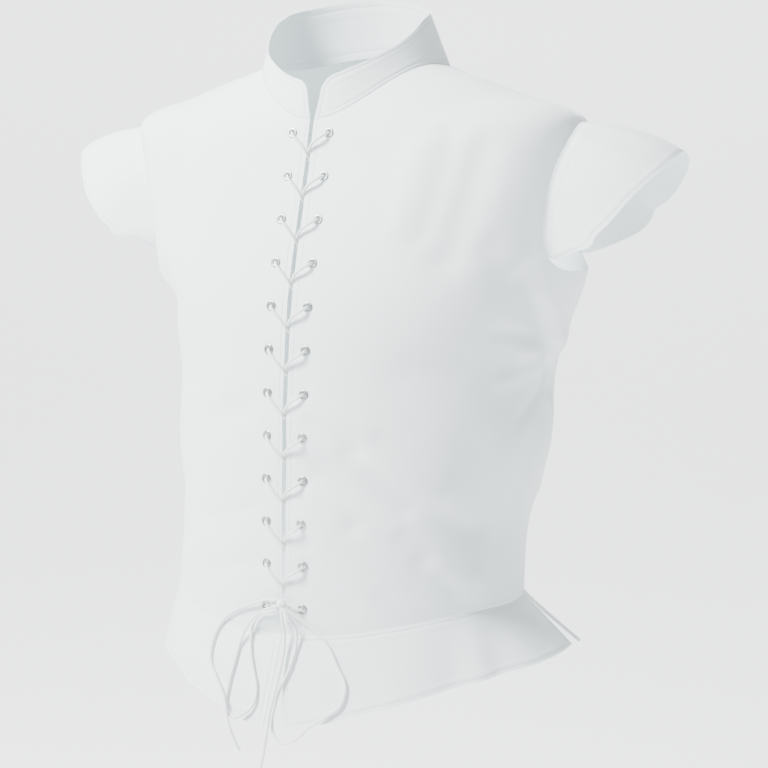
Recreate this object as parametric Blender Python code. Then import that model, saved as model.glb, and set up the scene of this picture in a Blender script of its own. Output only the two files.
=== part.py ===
"""A laced doublet: two fronts, a back, a stand collar, two cap sleeves and a short skirt.

Metres, +Z up. The wearer faces -Y and the wearer's left is +X. The origin lies midway between
the two points where the shoulder seams reach the neck, where the wearer's shoulders hold it.
Every cloth piece is a closed wall: an outer face that follows a smooth surface, an inner face
one cloth thickness inside it, and an edge between them. Pieces stand a seam gap apart.
"""

import bmesh
import bpy
import numpy as np
from collections import namedtuple
from math import ceil, cos, pi, radians, sin
from mathutils import Vector
from mathutils.geometry import delaunay_2d_cdt

# Cloth and seams
CLOTH = 0.0016
SEAM_GAP = 0.0003
FRONT_GAP = 0.0040
CLOTH_STEP = 0.025
SMALL_STEP = 0.020
CLEAR_OF_EDGE = 0.62
QUARTER = pi / 2

# Body, one row for each ring from the waist seam up to the neck seam
Ring = namedtuple(
    "Ring",
    "up half_width shift y_front y_side y_back z_front z_side z_back round_front round_back",
)
BODY = (
    Ring(0.000, 0.1720, 0.002, -0.136, -0.010, 0.114, -0.518, -0.492, -0.480, 0.000, 0.030),
    Ring(0.070, 0.1715, 0.005, -0.137, -0.007, 0.118, -0.447, -0.426, -0.412, 0.000, 0.030),
    Ring(0.150, 0.1840, 0.009, -0.138, 0.002, 0.140, -0.366, -0.348, -0.334, 0.000, 0.035),
    Ring(0.225, 0.1850, 0.010, -0.137, 0.006, 0.150, -0.290, -0.274, -0.260, 0.005, 0.040),
    Ring(0.305, 0.2145, 0.009, -0.130, 0.008, 0.149, -0.212, -0.188, -0.184, 0.020, 0.040),
    Ring(0.350, 0.2190, 0.009, -0.120, 0.006, 0.142, -0.168, -0.142, -0.134, 0.040, 0.040),
    Ring(0.395, 0.2250, 0.006, -0.109, -0.003, 0.129, -0.126, -0.094, -0.084, 0.050, 0.040),
    Ring(0.435, 0.2270, 0.002, -0.101, -0.010, 0.113, -0.097, -0.055, -0.046, 0.040, 0.040),
    Ring(0.500, 0.1620, 0.000, -0.096, -0.005, 0.088, -0.072, -0.027, -0.010, 0.030, 0.030),
    Ring(0.583, 0.0890, 0.000, -0.092, 0.005, 0.060, -0.055, -0.001, 0.013, 0.020, 0.020),
)
NECK_UP = BODY[-1].up
UNDERARM_UP = 0.305
SHOULDER_UP = 0.435
USUAL_HALF_WIDTH = 0.17
LOWEST_POINTS_UP = 0.012
FRONT_POINTS_FROM = 0.09

# How the rings dip from the sides to the middle, as a power of the cosine
RING_DIP = 3

# Folds of the body: from one end to the other, in degrees round from the centre front and
# metres up from the waist seam, with the half width and the depth (a ridge is positive)
Fold = namedtuple("Fold", "around_a up_a around_b up_b width depth")
BODY_FOLDS = (
    Fold(38, 0.33, 42, 0.42, 0.016, -0.004),
    Fold(6, 0.19, 44, 0.12, 0.016, 0.003),
    Fold(8, 0.11, 62, 0.03, 0.018, 0.004),
    Fold(12, 0.145, 60, 0.075, 0.015, -0.003),
    Fold(62, 0.30, 100, 0.20, 0.014, -0.006),
    Fold(72, 0.24, 104, 0.245, 0.012, 0.004),
    Fold(-14, 0.20, -34, 0.17, 0.012, -0.002),
    Fold(-60, 0.09, -78, 0.14, 0.014, -0.003),
    Fold(-52, 0.280, -96, 0.255, 0.024, -0.010),
    Fold(-150, 0.36, -158, 0.10, 0.022, 0.003),
    Fold(150, 0.34, 160, 0.12, 0.022, 0.003),
    Fold(-118, 0.08, -166, 0.03, 0.018, 0.004),
    Fold(116, 0.10, 164, 0.04, 0.018, 0.004),
)

# Armhole: how far it reaches from the side to the front and back, in degrees, how square
# its lower half is, and where round it the side seam ends
ARMHOLE_FRONT = 26
ARMHOLE_BACK = 37
ARMHOLE_SQUARE = 0.60
SIDE_TURN = 258

# Cap sleeve hems, one row for each place round the armhole, from the front notch over the
# shoulder to the back notch: degrees round the armhole (90 is the shoulder), then how far the
# hem lies out to the side, back and up from the seam
Hem = namedtuple("Hem", "turn aside behind above")
LEFT_HEM = (
    Hem(-42, 0.0050, 0.0005, -0.0030),
    Hem(-30, 0.0165, -0.0010, -0.0015),
    Hem(-15, 0.0320, -0.0035, -0.0095),
    Hem(0, 0.0475, -0.0040, -0.0315),
    Hem(25, 0.0735, 0.0000, -0.0440),
    Hem(60, 0.0870, 0.0110, -0.0410),
    Hem(90, 0.0930, 0.0200, -0.0350),
    Hem(120, 0.0925, 0.0130, -0.0370),
    Hem(155, 0.0870, 0.0060, -0.0370),
    Hem(190, 0.0650, 0.0090, -0.0140),
    Hem(222, 0.0080, 0.0005, 0.0005),
)
RIGHT_HEM = (
    Hem(-42, 0.0050, 0.0005, -0.0020),
    Hem(-30, 0.0145, -0.0010, 0.0005),
    Hem(-15, 0.0320, -0.0030, -0.0062),
    Hem(0, 0.0460, -0.0035, -0.0245),
    Hem(25, 0.0640, 0.0000, -0.0350),
    Hem(60, 0.0790, 0.0110, -0.0350),
    Hem(90, 0.0890, 0.0185, -0.0320),
    Hem(120, 0.0950, 0.0120, -0.0345),
    Hem(155, 0.0920, 0.0060, -0.0350),
    Hem(190, 0.0680, 0.0090, -0.0130),
    Hem(222, 0.0080, 0.0005, 0.0005),
)
SLEEVE_PUFF = 0.010
CAP_RADIUS = 0.068
CAP_DEPTH = 0.095
CAP_TAPER = 0.92
CAP_SPREAD = 0.2

# Collar: rise and inward lean at degrees round from the centre front
Stand = namedtuple("Stand", "around rise lean")
COLLAR = (
    Stand(-180, 0.055, 0.006),
    Stand(-135, 0.051, 0.006),
    Stand(-80, 0.046, 0.005),
    Stand(-40, 0.046, 0.004),
    Stand(0, 0.044, 0.004),
    Stand(45, 0.047, 0.008),
    Stand(90, 0.048, 0.014),
    Stand(135, 0.052, 0.012),
    Stand(180, 0.055, 0.006),
)
COLLAR_FRONT_RISE = 0.044
COLLAR_CORNER_OUT = 0.036
COLLAR_CORNER_DOWN = 0.026
COLLAR_EDGE_LEAN = 0.004
NECK_RADIUS = 0.083

# Skirt: flare and drop of its hem at degrees round from the centre front
Flare = namedtuple("Flare", "around flare drop")
SKIRT = (
    Flare(-180, 0.026, 0.056),
    Flare(-135, 0.024, 0.056),
    Flare(-90, 0.020, 0.063),
    Flare(-55, 0.013, 0.067),
    Flare(-25, 0.018, 0.072),
    Flare(0, 0.021, 0.083),
    Flare(25, 0.022, 0.070),
    Flare(55, 0.026, 0.058),
    Flare(95, 0.046, 0.044),
    Flare(135, 0.034, 0.052),
    Flare(180, 0.026, 0.056),
)
SKIRT_SPLIT = 0.0065
VENT_OPEN = radians(2.2)
WAIST_RADIUS = 0.150
SKIRT_SPREAD = 0.15
SKIRT_DEPTH = 0.07
SKIRT_COLUMN = 0.022
THIRDS = np.array([0.33, 0.66])

# Eyelets
EYELETS = 12
EYELET_TOP = -0.0674
EYELET_PITCH = 0.0388
EYELET_IN = 0.0165
HOLE_RADIUS = 0.0032
HOLE_SIDES = 8
FLANGE_RADIUS = 0.0047
FLAT_RADIUS = 0.0078
FLANGE_HEIGHT = 0.0006
BARREL_BORE = 0.0024
BARREL_PAST = 0.0002
FLANGE_ROUND = 0.0005

# Lace: its width, the clear space kept to its neighbours, and one pass from an eyelet to the
# next one down on the other side, in millimetres: across from the middle, down from the
# eyelet and out from the cloth; the two laces cross over each other in turn
LACE = 0.0026
LACE_RESOLUTION = 2
Pass = namedtuple("Pass", "across down out")
LACE_PASS = (
    Pass(-2.6, 14.9, 2.4),
    Pass(-0.8, 17.8, 1.3),
    Pass(0.0, 19.4, -0.8),
    Pass(0.8, 21.0, -2.9),
    Pass(2.6, 23.9, -4.2),
)
CROSSING_SHIFT = 2.2
Bend = namedtuple("Bend", "aside out")
EYELET_LEAVE = (Bend(0.5, 1.7), Bend(2.4, 3.1))
EYELET_ARRIVE = (Bend(2.5, -4.3), Bend(0.6, -2.8))
EYELET_MIDDLE_OUT = -0.7
TOP_BAR_START = 0.15
TOP_BAR_OUT = -4.3
KNOT_Z = -0.490
KNOT_OUT = 0.0046
KNOT_HALF = (0.0056, 0.0036, 0.0046)
LACE_END = (Pass(-11.5, -3.2, 3.5), Pass(-5.95, -4.2, 4.3))

# The bow's free cords, from the knot on, in millimetres. Each loop comes back to the knot
Route = namedtuple("Route", "x y z")
TAIL_RIGHT = (
    Route(-4.4, -144.1, -486.7),
    Route(-12.5, -143.6, -486.7),
    Route(-25.1, -139.3, -490.9),
    Route(-38.3, -135.9, -496.3),
    Route(-54.2, -132.0, -503.7),
    Route(-67.3, -128.9, -514.4),
    Route(-76.5, -131.0, -533.0),
    Route(-76.5, -136.0, -551.3),
    Route(-67.3, -142.4, -562.9),
    Route(-51.1, -153.6, -581.7),
    Route(-43.5, -161.0, -597.0),
    Route(-36.4, -162.0, -612.9),
    Route(-30.3, -161.4, -624.0),
)
TAIL_LEFT = (
    Route(0.0, -142.4, -494.7),
    Route(2.8, -143.8, -504.8),
    Route(4.8, -142.8, -518.0),
    Route(4.6, -143.8, -531.0),
    Route(3.9, -147.9, -545.6),
    Route(2.2, -154.5, -565.7),
    Route(0.2, -160.2, -584.1),
    Route(-1.2, -163.2, -602.0),
    Route(-4.4, -163.4, -622.0),
    Route(-8.4, -162.8, -640.0),
    Route(-11.5, -162.2, -660.0),
)
LOOP_RIGHT = (
    Route(-3.7, -141.4, -494.0),
    Route(-12.0, -139.9, -498.3),
    Route(-25.1, -137.7, -503.5),
    Route(-32.0, -136.9, -516.5),
    Route(-31.5, -140.4, -534.1),
    Route(-25.6, -145.5, -552.0),
    Route(-19.8, -149.7, -568.0),
    Route(-20.6, -153.6, -581.0),
    Route(-30.0, -156.5, -591.6),
    Route(-41.5, -156.8, -595.8),
    Route(-50.6, -151.7, -587.0),
    Route(-50.8, -146.6, -569.0),
    Route(-47.7, -142.1, -549.6),
    Route(-43.6, -138.2, -530.0),
    Route(-33.5, -140.3, -511.4),
    Route(-21.0, -144.0, -499.4),
    Route(-8.5, -147.0, -493.8),
    Route(-2.5, -145.5, -492.6),
)
LOOP_LEFT = (
    Route(4.3, -141.4, -493.5),
    Route(12.5, -139.5, -499.5),
    Route(28.3, -136.5, -510.1),
    Route(43.0, -136.2, -522.0),
    Route(56.7, -139.4, -541.2),
    Route(66.5, -142.7, -558.5),
    Route(64.6, -147.6, -572.6),
    Route(50.9, -153.5, -585.4),
    Route(38.0, -158.7, -595.0),
    Route(25.8, -161.0, -606.8),
    Route(13.6, -160.9, -611.6),
    Route(5.2, -160.1, -606.8),
    Route(0.9, -157.8, -594.5),
    Route(2.0, -153.9, -579.0),
    Route(6.0, -149.5, -562.1),
    Route(11.8, -145.3, -546.0),
    Route(15.4, -140.6, -526.5),
    Route(15.0, -140.8, -511.5),
    Route(8.5, -147.0, -498.2),
    Route(2.5, -145.5, -492.6),
)
CORD_STEP = 3 * LACE

# Finishes
WHITE_CLOTH = (0.86, 0.91, 0.92)
WHITE_LACE = (0.88, 0.92, 0.90)
STEEL = (0.45, 0.48, 0.48)

for thing in list(bpy.data.objects):
    bpy.data.objects.remove(thing, do_unlink=True)


def finish(name, colour, roughness, metallic):
    """A material with the piece's own colour, roughness and metallic value."""
    made = bpy.data.materials.new(name)
    made.use_nodes = True
    shader = made.node_tree.nodes["Principled BSDF"]
    shader.inputs["Base Color"].default_value = (*colour, 1)
    shader.inputs["Roughness"].default_value = roughness
    shader.inputs["Metallic"].default_value = metallic
    return made


def through(rows, at):
    """The rows of a table joined by one smooth curve, read at the given places."""
    table = np.array(rows, float)
    knots = table[:, 0]
    slope = np.gradient(table, knots, axis=0)
    at = np.asarray(at, float)
    low = np.clip(np.searchsorted(knots, at, side="right") - 1, 0, len(knots) - 2)
    span = (knots[low + 1] - knots[low])[..., None]
    f = (at[..., None] - knots[low][..., None]) / span
    start, end = table[low], table[low + 1]
    leave, reach = slope[low] * span, slope[low + 1] * span
    curve = start + f * leave + f * f * (3 * (end - start) - 2 * leave - reach)
    return curve + f ** 3 * (2 * (start - end) + leave + reach)


def unit(vectors):
    """Each vector at length one."""
    return vectors / np.linalg.norm(vectors, axis=-1, keepdims=True)


def smooth_body(around, up):
    """The body without its folds; around is in radians from the centre front to +X."""
    around, up = np.broadcast_arrays(np.asarray(around, float), np.asarray(up, float))
    ring = Ring(*np.moveaxis(through(BODY, up), -1, 0))
    ahead, aside = np.cos(around), np.sin(around)
    fuller = 1 + np.where(ahead > 0, ring.round_front, ring.round_back) * np.sin(2 * around) ** 2
    deep = np.where(ahead > 0, ring.y_front, ring.y_back) - ring.y_side
    lift = np.where(ahead > 0, ring.z_front, ring.z_back) - ring.z_side
    x = ring.half_width * aside * fuller + ring.shift * aside ** 2
    y = ring.y_side + deep * np.abs(ahead) * fuller
    z = ring.z_side + lift * np.abs(ahead) ** RING_DIP
    return np.stack([x, y, z], -1)


def outward(surface, first, second, step=1e-4):
    """Unit normals of a surface by its two directions, the second of which runs up."""
    along = surface(first + step, second) - surface(first - step, second)
    upward = surface(first, second + step) - surface(first, second - step)
    return unit(np.cross(along, upward))


def measured(around):
    """Length up the body from the waist seam, at one angle, as a table over up."""
    ups = np.linspace(0, NECK_UP, 121)
    points = smooth_body(around, ups)
    steps = np.linalg.norm(np.diff(points, axis=0), axis=1)
    return ups, np.concatenate([[0], np.cumsum(steps)])


FRONT_LENGTH = measured(0.0)
SIDE_LENGTH = measured(QUARTER)
BACK_LENGTH = measured(2 * QUARTER)


def quarter_girth(start):
    """Length round a quarter of the body from the given angle, as a table over up."""
    ups = np.linspace(0, NECK_UP, 121)
    angles = np.linspace(start, start + QUARTER, 41)
    points = smooth_body(angles[:, None], ups[None, :])
    return ups, np.linalg.norm(np.diff(points, axis=0), axis=2).sum(axis=0)


FRONT_GIRTH = quarter_girth(0.0)
BACK_GIRTH = quarter_girth(QUARTER)


def flat_front(around, up):
    """Where a point of a front lies on the cut piece: metres from the centre front, and up."""
    turn = around / QUARTER
    upright = np.cos(around) ** 2
    high = np.interp(up, *FRONT_LENGTH) * upright + np.interp(up, *SIDE_LENGTH) * (1 - upright)
    return np.stack([turn * np.interp(up, *FRONT_GIRTH), high], -1)


def flat_back(around, up):
    """The same for the back, from the centre back."""
    turn = 2 - around / QUARTER
    upright = np.cos(around) ** 2
    high = np.interp(up, *BACK_LENGTH) * upright + np.interp(up, *SIDE_LENGTH) * (1 - upright)
    return np.stack([turn * np.interp(up, *BACK_GIRTH), high], -1)


def flat_body(around, up):
    """The cut piece of whichever quarter a point lies in, the back one set beside the front."""
    side = np.sign(around)
    turned = np.abs(around)
    front = flat_front(turned, up)
    back = flat_back(turned, up)
    beside = np.interp(up, *FRONT_GIRTH) + np.interp(up, *BACK_GIRTH)
    s = np.where(turned <= QUARTER, front[..., 0], beside - back[..., 0])
    t = np.where(turned <= QUARTER, front[..., 1], back[..., 1])
    return np.stack([side * s, t], -1)


def fold_height(around, up):
    """How far the folds lift the cloth off the smooth body."""
    wrapped = np.arctan2(np.sin(around), np.cos(around))
    here = flat_body(wrapped, up)
    height = np.zeros(here.shape[:-1])
    for fold in BODY_FOLDS:
        start = flat_body(np.array(radians(fold.around_a)), np.array(fold.up_a))
        end = flat_body(np.array(radians(fold.around_b)), np.array(fold.up_b))
        run = end - start
        place = ((here - start) @ run) / (run @ run)
        nearest = start + np.clip(place, 0, 1)[..., None] * run
        off = np.linalg.norm(here - nearest, axis=-1)
        height = height + fold.depth * np.exp(-(off / fold.width) ** 2)
    return height


def body(around, up):
    """The body's outer face with its folds."""
    around, up = np.broadcast_arrays(np.asarray(around, float), np.asarray(up, float))
    raised = outward(smooth_body, around, up) * fold_height(around, up)[..., None]
    return smooth_body(around, up) + raised


def armhole(turn):
    """Round the left armhole: 0 is its front edge, 90 the shoulder and 180 its back edge."""
    turn = np.radians(turn)
    across, high = np.cos(turn), np.sin(turn)
    reach = np.where(across > 0, ARMHOLE_FRONT, -ARMHOLE_BACK)
    square = np.where(high < 0, ARMHOLE_SQUARE, 1.0)
    around = QUARTER - np.radians(reach) * np.abs(across) ** square
    middle = (SHOULDER_UP + UNDERARM_UP) / 2
    return around, middle + (SHOULDER_UP - middle) * np.sign(high) * np.abs(high) ** square


SIDE, SIDE_UP = (float(value) for value in armhole(SIDE_TURN))


def sleeve(side, hems):
    """The surface of one cap sleeve: degrees round the armhole, then out from seam to hem."""
    def surface(turn, out):
        turn, out = np.broadcast_arrays(np.asarray(turn, float), np.asarray(out, float))
        around, up = armhole(turn)
        seam = body(side * around, up)
        reach = through(hems, turn)[..., 1:] * np.array([side, 1, 1])
        over = outward(body, side * around, up)
        crown = np.sin(np.radians(turn).clip(0, pi))
        puff = SLEEVE_PUFF * 4 * out * (1 - out) * crown
        return seam + reach * out[..., None] + over * puff[..., None]
    return surface


def collar(around, rise):
    """The stand collar: around as on the body, rise from the neck seam to the top edge."""
    around, rise = np.broadcast_arrays(np.asarray(around, float), np.asarray(rise, float))
    foot = body(around, np.full(around.shape, NECK_UP))
    wrapped = np.arctan2(np.sin(around), np.cos(around))
    stand = through(COLLAR, np.degrees(wrapped))
    inward = np.stack([-np.sin(around), np.cos(around), np.zeros(around.shape)], -1)
    lift = inward * stand[..., 2:3] + np.array([0, 0, 1]) * stand[..., 1:2]
    return foot + lift * rise[..., None]


def skirt(around, drop):
    """The skirt below the waist seam: drop from the seam to the hem."""
    around, drop = np.broadcast_arrays(np.asarray(around, float), np.asarray(drop, float))
    waist = body(around, np.zeros(around.shape))
    wrapped = np.degrees(np.arctan2(np.sin(around), np.cos(around)))
    hem = through(SKIRT, wrapped)
    out = outward(smooth_body, around, np.zeros(around.shape)) * np.array([1, 1, 0])
    fall = unit(out) * hem[..., 1:2] - np.array([0, 0, 1]) * hem[..., 2:3]
    return waist + fall * drop[..., None]


Spots = namedtuple("Spots", "outer inward flat")


def spots(surface, flat, first, second, facing=1, other=None):
    """Points of a piece with the way through the cloth at each, mitred to a neighbour's."""
    first, second = np.asarray(first, float), np.asarray(second, float)
    normal = outward(surface, first, second) * facing
    beside = normal if other is None else other
    bevel = (normal + beside) / (1 + (normal * beside).sum(axis=-1, keepdims=True))
    return Spots(surface(first, second), -CLOTH * bevel, flat(first, second))


def joined(*runs):
    """Several runs of spots as one, each without its last point, which starts the next."""
    kept = zip(*[[values[:-1] for values in run] for run in runs])
    return Spots(*[np.concatenate(values) for values in kept])


def spaced(surface, path, start, end, step):
    """Places along a path, evenly spaced on the surface and about a step apart."""
    fine = np.linspace(start, end, 201)
    points = surface(*path(fine))
    length = np.concatenate([[0], np.cumsum(np.linalg.norm(np.diff(points, axis=0), axis=1))])
    count = max(1, ceil(length[-1] / step - 0.35))
    return np.interp(np.linspace(0, length[-1], count + 1), length, fine)


def inset(outline, distance):
    """The outline moved in across the cloth, so that neighbours stand a seam gap apart."""
    normal = -unit(outline.inward)
    before = np.roll(outline.outer, 1, axis=0)
    after = np.roll(outline.outer, -1, axis=0)
    fan = np.cross(outline.outer, after).sum(axis=0)
    turn = np.sign((fan * normal.mean(axis=0)).sum())
    arriving = unit(np.cross(normal, outline.outer - before)) * turn
    leaving = unit(np.cross(normal, after - outline.outer)) * turn
    square = 1 + (arriving * leaving).sum(axis=1, keepdims=True)
    moved = outline.outer + distance * (arriving + leaving) / np.maximum(square, 0.25)
    return Spots(moved, outline.inward, outline.flat)


def inside(points, ring):
    """Which flat points lie inside a closed outline."""
    found = np.zeros(len(points), bool)
    for (ax, ay), (bx, by) in zip(ring, np.roll(ring, -1, axis=0)):
        crosses = (ay > points[:, 1]) != (by > points[:, 1])
        run = np.where(by == ay, 1.0, by - ay)
        found ^= crosses & (points[:, 0] < ax + (points[:, 1] - ay) * (bx - ax) / run)
    return found


def filling(surface, flat, facing, first, second, outline, holes, step):
    """Staggered points inside an outline, about a step apart and clear of its edges."""
    a, b = np.meshgrid(first, second)
    stagger = (first[1] - first[0]) / 2 * (np.arange(len(second)) % 2)
    a = (a + stagger[:, None]).ravel()
    b = b.ravel()
    places = flat(a, b)
    keep = inside(places, outline.flat)
    for hole in holes:
        keep &= ~inside(places, hole.flat)
    fixed = [outline.flat] + [hole.flat for hole in holes]
    kept = []
    taken = np.concatenate(fixed)
    for i in np.flatnonzero(keep):
        if np.min(np.linalg.norm(taken - places[i], axis=1)) > CLEAR_OF_EDGE * step:
            kept.append(i)
            taken = np.vstack([taken, places[i]])
    return spots(surface, flat, a[kept], b[kept], facing)


def wall(name, look, outline, holes, extra):
    """A closed cloth piece from its outline, its holes and the points inside it."""
    outline = inset(outline, SEAM_GAP / 2)
    groups = [outline, *holes, *extra]
    outer = np.concatenate([group.outer for group in groups])
    through_cloth = np.concatenate([group.inward for group in groups])
    flat = np.concatenate([group.flat for group in groups])
    loops, start = [], 0
    for ring in [outline, *holes]:
        loops.append(list(range(start, start + len(ring.outer))))
        start += len(ring.outer)
    flat_points = [Vector(p) for p in flat]
    cut = delaunay_2d_cdt(flat_points, [], loops, 2 if holes else 1, 1e-7)
    source = [origin[0] for origin in cut[3]]
    points = [*outer[source], *(outer[source] + through_cloth[source])]
    count = len(source)
    faces, edges = [], {}
    for corners in cut[2]:
        a, b, c = corners
        up = np.cross(points[b] - points[a], points[c] - points[a])
        if up @ through_cloth[source[a]] > 0:
            b, c = c, b
        faces.append((a, b, c))
        faces.append((a + count, c + count, b + count))
        for edge in ((a, b), (b, c), (c, a)):
            edges[edge] = True
    for a, b in edges:
        if (b, a) not in edges:
            faces.append((b, a, a + count))
            faces.append((b, a + count, b + count))
    mesh = bpy.data.meshes.new(name)
    mesh.from_pydata([tuple(p) for p in points], [], faces)
    mesh.materials.append(look)
    mesh.shade_smooth()
    mesh.set_sharp_from_angle(angle=radians(40))
    made = bpy.data.objects.new(name, mesh)
    bpy.context.collection.objects.link(made)
    return made


cloth = finish("white_twill", WHITE_CLOTH, 0.55, 0.0)
lace_look = finish("white_lace", WHITE_LACE, 0.7, 0.0)
steel = finish("eyelet_steel", STEEL, 0.35, 0.9)

FRONT_NOTCH = LEFT_HEM[0].turn
BACK_NOTCH = LEFT_HEM[-1].turn
LEFT, RIGHT = 1, -1
SLEEVES = {LEFT: sleeve(LEFT, LEFT_HEM), RIGHT: sleeve(RIGHT, RIGHT_HEM)}


def sleeve_facing(side):
    """1 or -1, so that the sleeve's two directions give its outer side."""
    crown = outward(SLEEVES[side], np.array([90.0]), np.array([0.3]))[0]
    return 1 if crown[2] > 0 else -1


def neck_normal(around):
    """The collar's normal along the neck seam."""
    return outward(collar, around, np.full(np.shape(around), 0.01))


def waist_normal(around):
    """The skirt's normal along the waist seam."""
    return -outward(skirt, around, np.full(np.shape(around), 0.01))


def armhole_turns(side, start, end):
    """Places round one armhole, the same for every piece that is sewn along them."""
    def path(turn):
        around, up = armhole(turn)
        return side * around, up
    return spaced(body, path, start, end, SMALL_STEP)


def body_run(flat, around, up, other=None):
    """Spots of the body at the angles and heights given."""
    around, up = np.broadcast_arrays(np.asarray(around, float), np.asarray(up, float))
    return spots(body, flat, around, up, 1, other)


def armhole_run(side, flat, start, end, sewn):
    """Spots of the body along the armhole, mitred to the sleeve where one is sewn on."""
    turns = armhole_turns(side, start, end)
    around, up = armhole(turns)
    other = None
    if sewn:
        cap = outward(SLEEVES[side], turns, np.full(turns.shape, 0.02))
        other = cap * sleeve_facing(side)
    return body_run(flat, side * around, up, other)


def centre_angle(up):
    """The angle of the front edge, half the front gap from the middle."""
    ring = Ring(*np.moveaxis(through(BODY, up), -1, 0))
    return FRONT_GAP / 2 / ring.half_width


def up_at(around, start, end):
    """Heights along a seam that runs up at one angle, the same for both pieces sewn there."""
    return spaced(body, lambda up: (np.full(np.shape(up), around), up), start, end, CLOTH_STEP)


def round_at(up, start, end, step=CLOTH_STEP):
    """Angles round the body at one height, the same for every piece sewn there."""
    return spaced(body, lambda around: (around, np.full(np.shape(around), up)), start, end, step)


def body_at(x, z):
    """Angle and height of the point of the fronts at the given x and z."""
    ups = np.linspace(0, NECK_UP, 400)
    around = x / USUAL_HALF_WIDTH
    for _ in range(6):
        points = body(np.full(ups.shape, around), ups)
        up = np.interp(z, points[:, 2], ups)
        reached = np.interp(z, points[:, 2], points[:, 0])
        around += (x - reached) / USUAL_HALF_WIDTH
    return around, up


def eyelet_places(side):
    """Angle and height on the body of each eyelet of one front, from the top one down."""
    x = side * (EYELET_IN + FRONT_GAP / 2)
    return [body_at(x, EYELET_TOP - i * EYELET_PITCH) for i in range(EYELETS)]


def tangent_frame(place):
    """The point of the body at a place, its normal, and the level and rising directions."""
    around, up = place
    normal = outward(body, np.array([around]), np.array([up]))[0]
    level = unit(np.cross(np.array([0, 0, 1.0]), normal))
    return body(around, up), normal, level, np.cross(normal, level)


def ring_spots(place, radius, sides):
    """Spots round an eyelet, on the flat of the cloth at its middle."""
    middle, normal, level, rise = tangent_frame(place)
    angles = np.arange(sides) * 2 * pi / sides
    circle = radius * np.stack([np.cos(angles), np.sin(angles)], -1)
    around, up = place
    small = 1e-4
    base = flat_front(np.array(around), np.array(up))
    moves = ((around + small, up), (around, up + small))
    ways = np.array([body(*move) - middle for move in moves])
    flats = np.array([flat_front(np.array(a), np.array(b)) - base for a, b in moves])
    to_flat = np.linalg.solve(np.stack([ways @ level, ways @ rise], -1), flats)
    outer = middle + circle @ np.stack([level, rise])
    return Spots(outer, np.tile(-CLOTH * normal, (sides, 1)), base + circle @ to_flat)


def make_front(name, side):
    """One front, cut from the centre edge to the side seam, with its eyelet holes."""
    ups = spaced(body, lambda up: (np.full(up.shape, 0.02), up), 0, NECK_UP, CLOTH_STEP)
    centre = side * centre_angle(ups)
    waist = waist_front(side)
    neck = neck_front(side)[::-1]
    outline = joined(
        body_run(flat_front, waist, 0, waist_normal(waist)),
        body_run(flat_front, side * SIDE, up_at(side * SIDE, 0, SIDE_UP)),
        armhole_run(side, flat_front, SIDE_TURN - 360, FRONT_NOTCH, False),
        armhole_run(side, flat_front, FRONT_NOTCH, 90, True),
        body_run(flat_front, side * QUARTER, up_at(side * QUARTER, SHOULDER_UP, NECK_UP)),
        body_run(flat_front, neck, NECK_UP, neck_normal(neck)),
        body_run(flat_front, centre[::-1], ups[::-1]),
    )
    places = eyelet_places(side)
    holes = [ring_spots(place, HOLE_RADIUS, HOLE_SIDES) for place in places]
    flats = [ring_spots(place, FLAT_RADIUS, HOLE_SIDES) for place in places]
    taken = holes + flats
    first = side * np.linspace(FRONT_POINTS_FROM, SIDE, 14)
    second = np.linspace(LOWEST_POINTS_UP, NECK_UP, 27)
    middle = filling(body, flat_front, 1, first, second, outline, taken, CLOTH_STEP)
    return wall(name, cloth, outline, holes, [*flats, middle])


def back_armhole(side):
    """The back's two runs of one armhole, from the side seam up to the shoulder."""
    runs = []
    for start, end, sewn in ((SIDE_TURN, BACK_NOTCH, False), (BACK_NOTCH, 90, True)):
        turns = armhole_turns(side, end, start)[::-1]
        around, up = armhole(turns)
        other = None
        if sewn:
            cap = outward(SLEEVES[side], turns, np.full(turns.shape, 0.02))
            other = cap * sleeve_facing(side)
        along = around if side == LEFT else 2 * pi - around
        runs.append(body_run(flat_back, along, up, other))
    return runs


def turned(run):
    """The same spots in the other order."""
    return Spots(run.outer[::-1], run.inward[::-1], run.flat[::-1])


def round_back(up, start, step):
    """Angles along the back at one height, from the left side to the right one."""
    left = round_at(up, start, 2 * QUARTER, step)
    right = round_at(up, 2 * QUARTER, 4 * QUARTER - start, step)
    return np.concatenate([left[:-1], right])


def neck_front(side):
    """Angles along one front's neck seam, from its centre edge to the shoulder."""
    return round_at(NECK_UP, side * centre_angle(np.array(NECK_UP)), side * QUARTER, SMALL_STEP)


def waist_front(side):
    """Angles along one front's waist seam, from its centre edge to the side."""
    return round_at(0, side * centre_angle(np.array(0.0)), side * SIDE)


def make_back():
    """The back in one piece, from the left side seam round to the right one."""
    waist = round_back(0, SIDE, CLOTH_STEP)
    neck = round_back(NECK_UP, QUARTER, SMALL_STEP)[::-1]
    right_side, right_ridge = 4 * QUARTER - SIDE, 3 * QUARTER
    outline = joined(
        body_run(flat_back, waist, 0, waist_normal(waist)),
        body_run(flat_back, right_side, up_at(-SIDE, 0, SIDE_UP)),
        *back_armhole(RIGHT),
        body_run(flat_back, right_ridge, up_at(-QUARTER, SHOULDER_UP, NECK_UP)),
        body_run(flat_back, neck, NECK_UP, neck_normal(neck)),
        body_run(flat_back, QUARTER, up_at(QUARTER, SHOULDER_UP, NECK_UP)[::-1]),
        *[turned(run) for run in back_armhole(LEFT)[::-1]],
        body_run(flat_back, SIDE, up_at(SIDE, 0, SIDE_UP)[::-1]),
    )
    first = np.linspace(QUARTER, 3 * QUARTER, 24)
    second = np.linspace(LOWEST_POINTS_UP, NECK_UP, 27)
    middle = filling(body, flat_back, 1, first, second, outline, [], CLOTH_STEP)
    return wall("back", cloth, outline, [], [middle])


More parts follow.
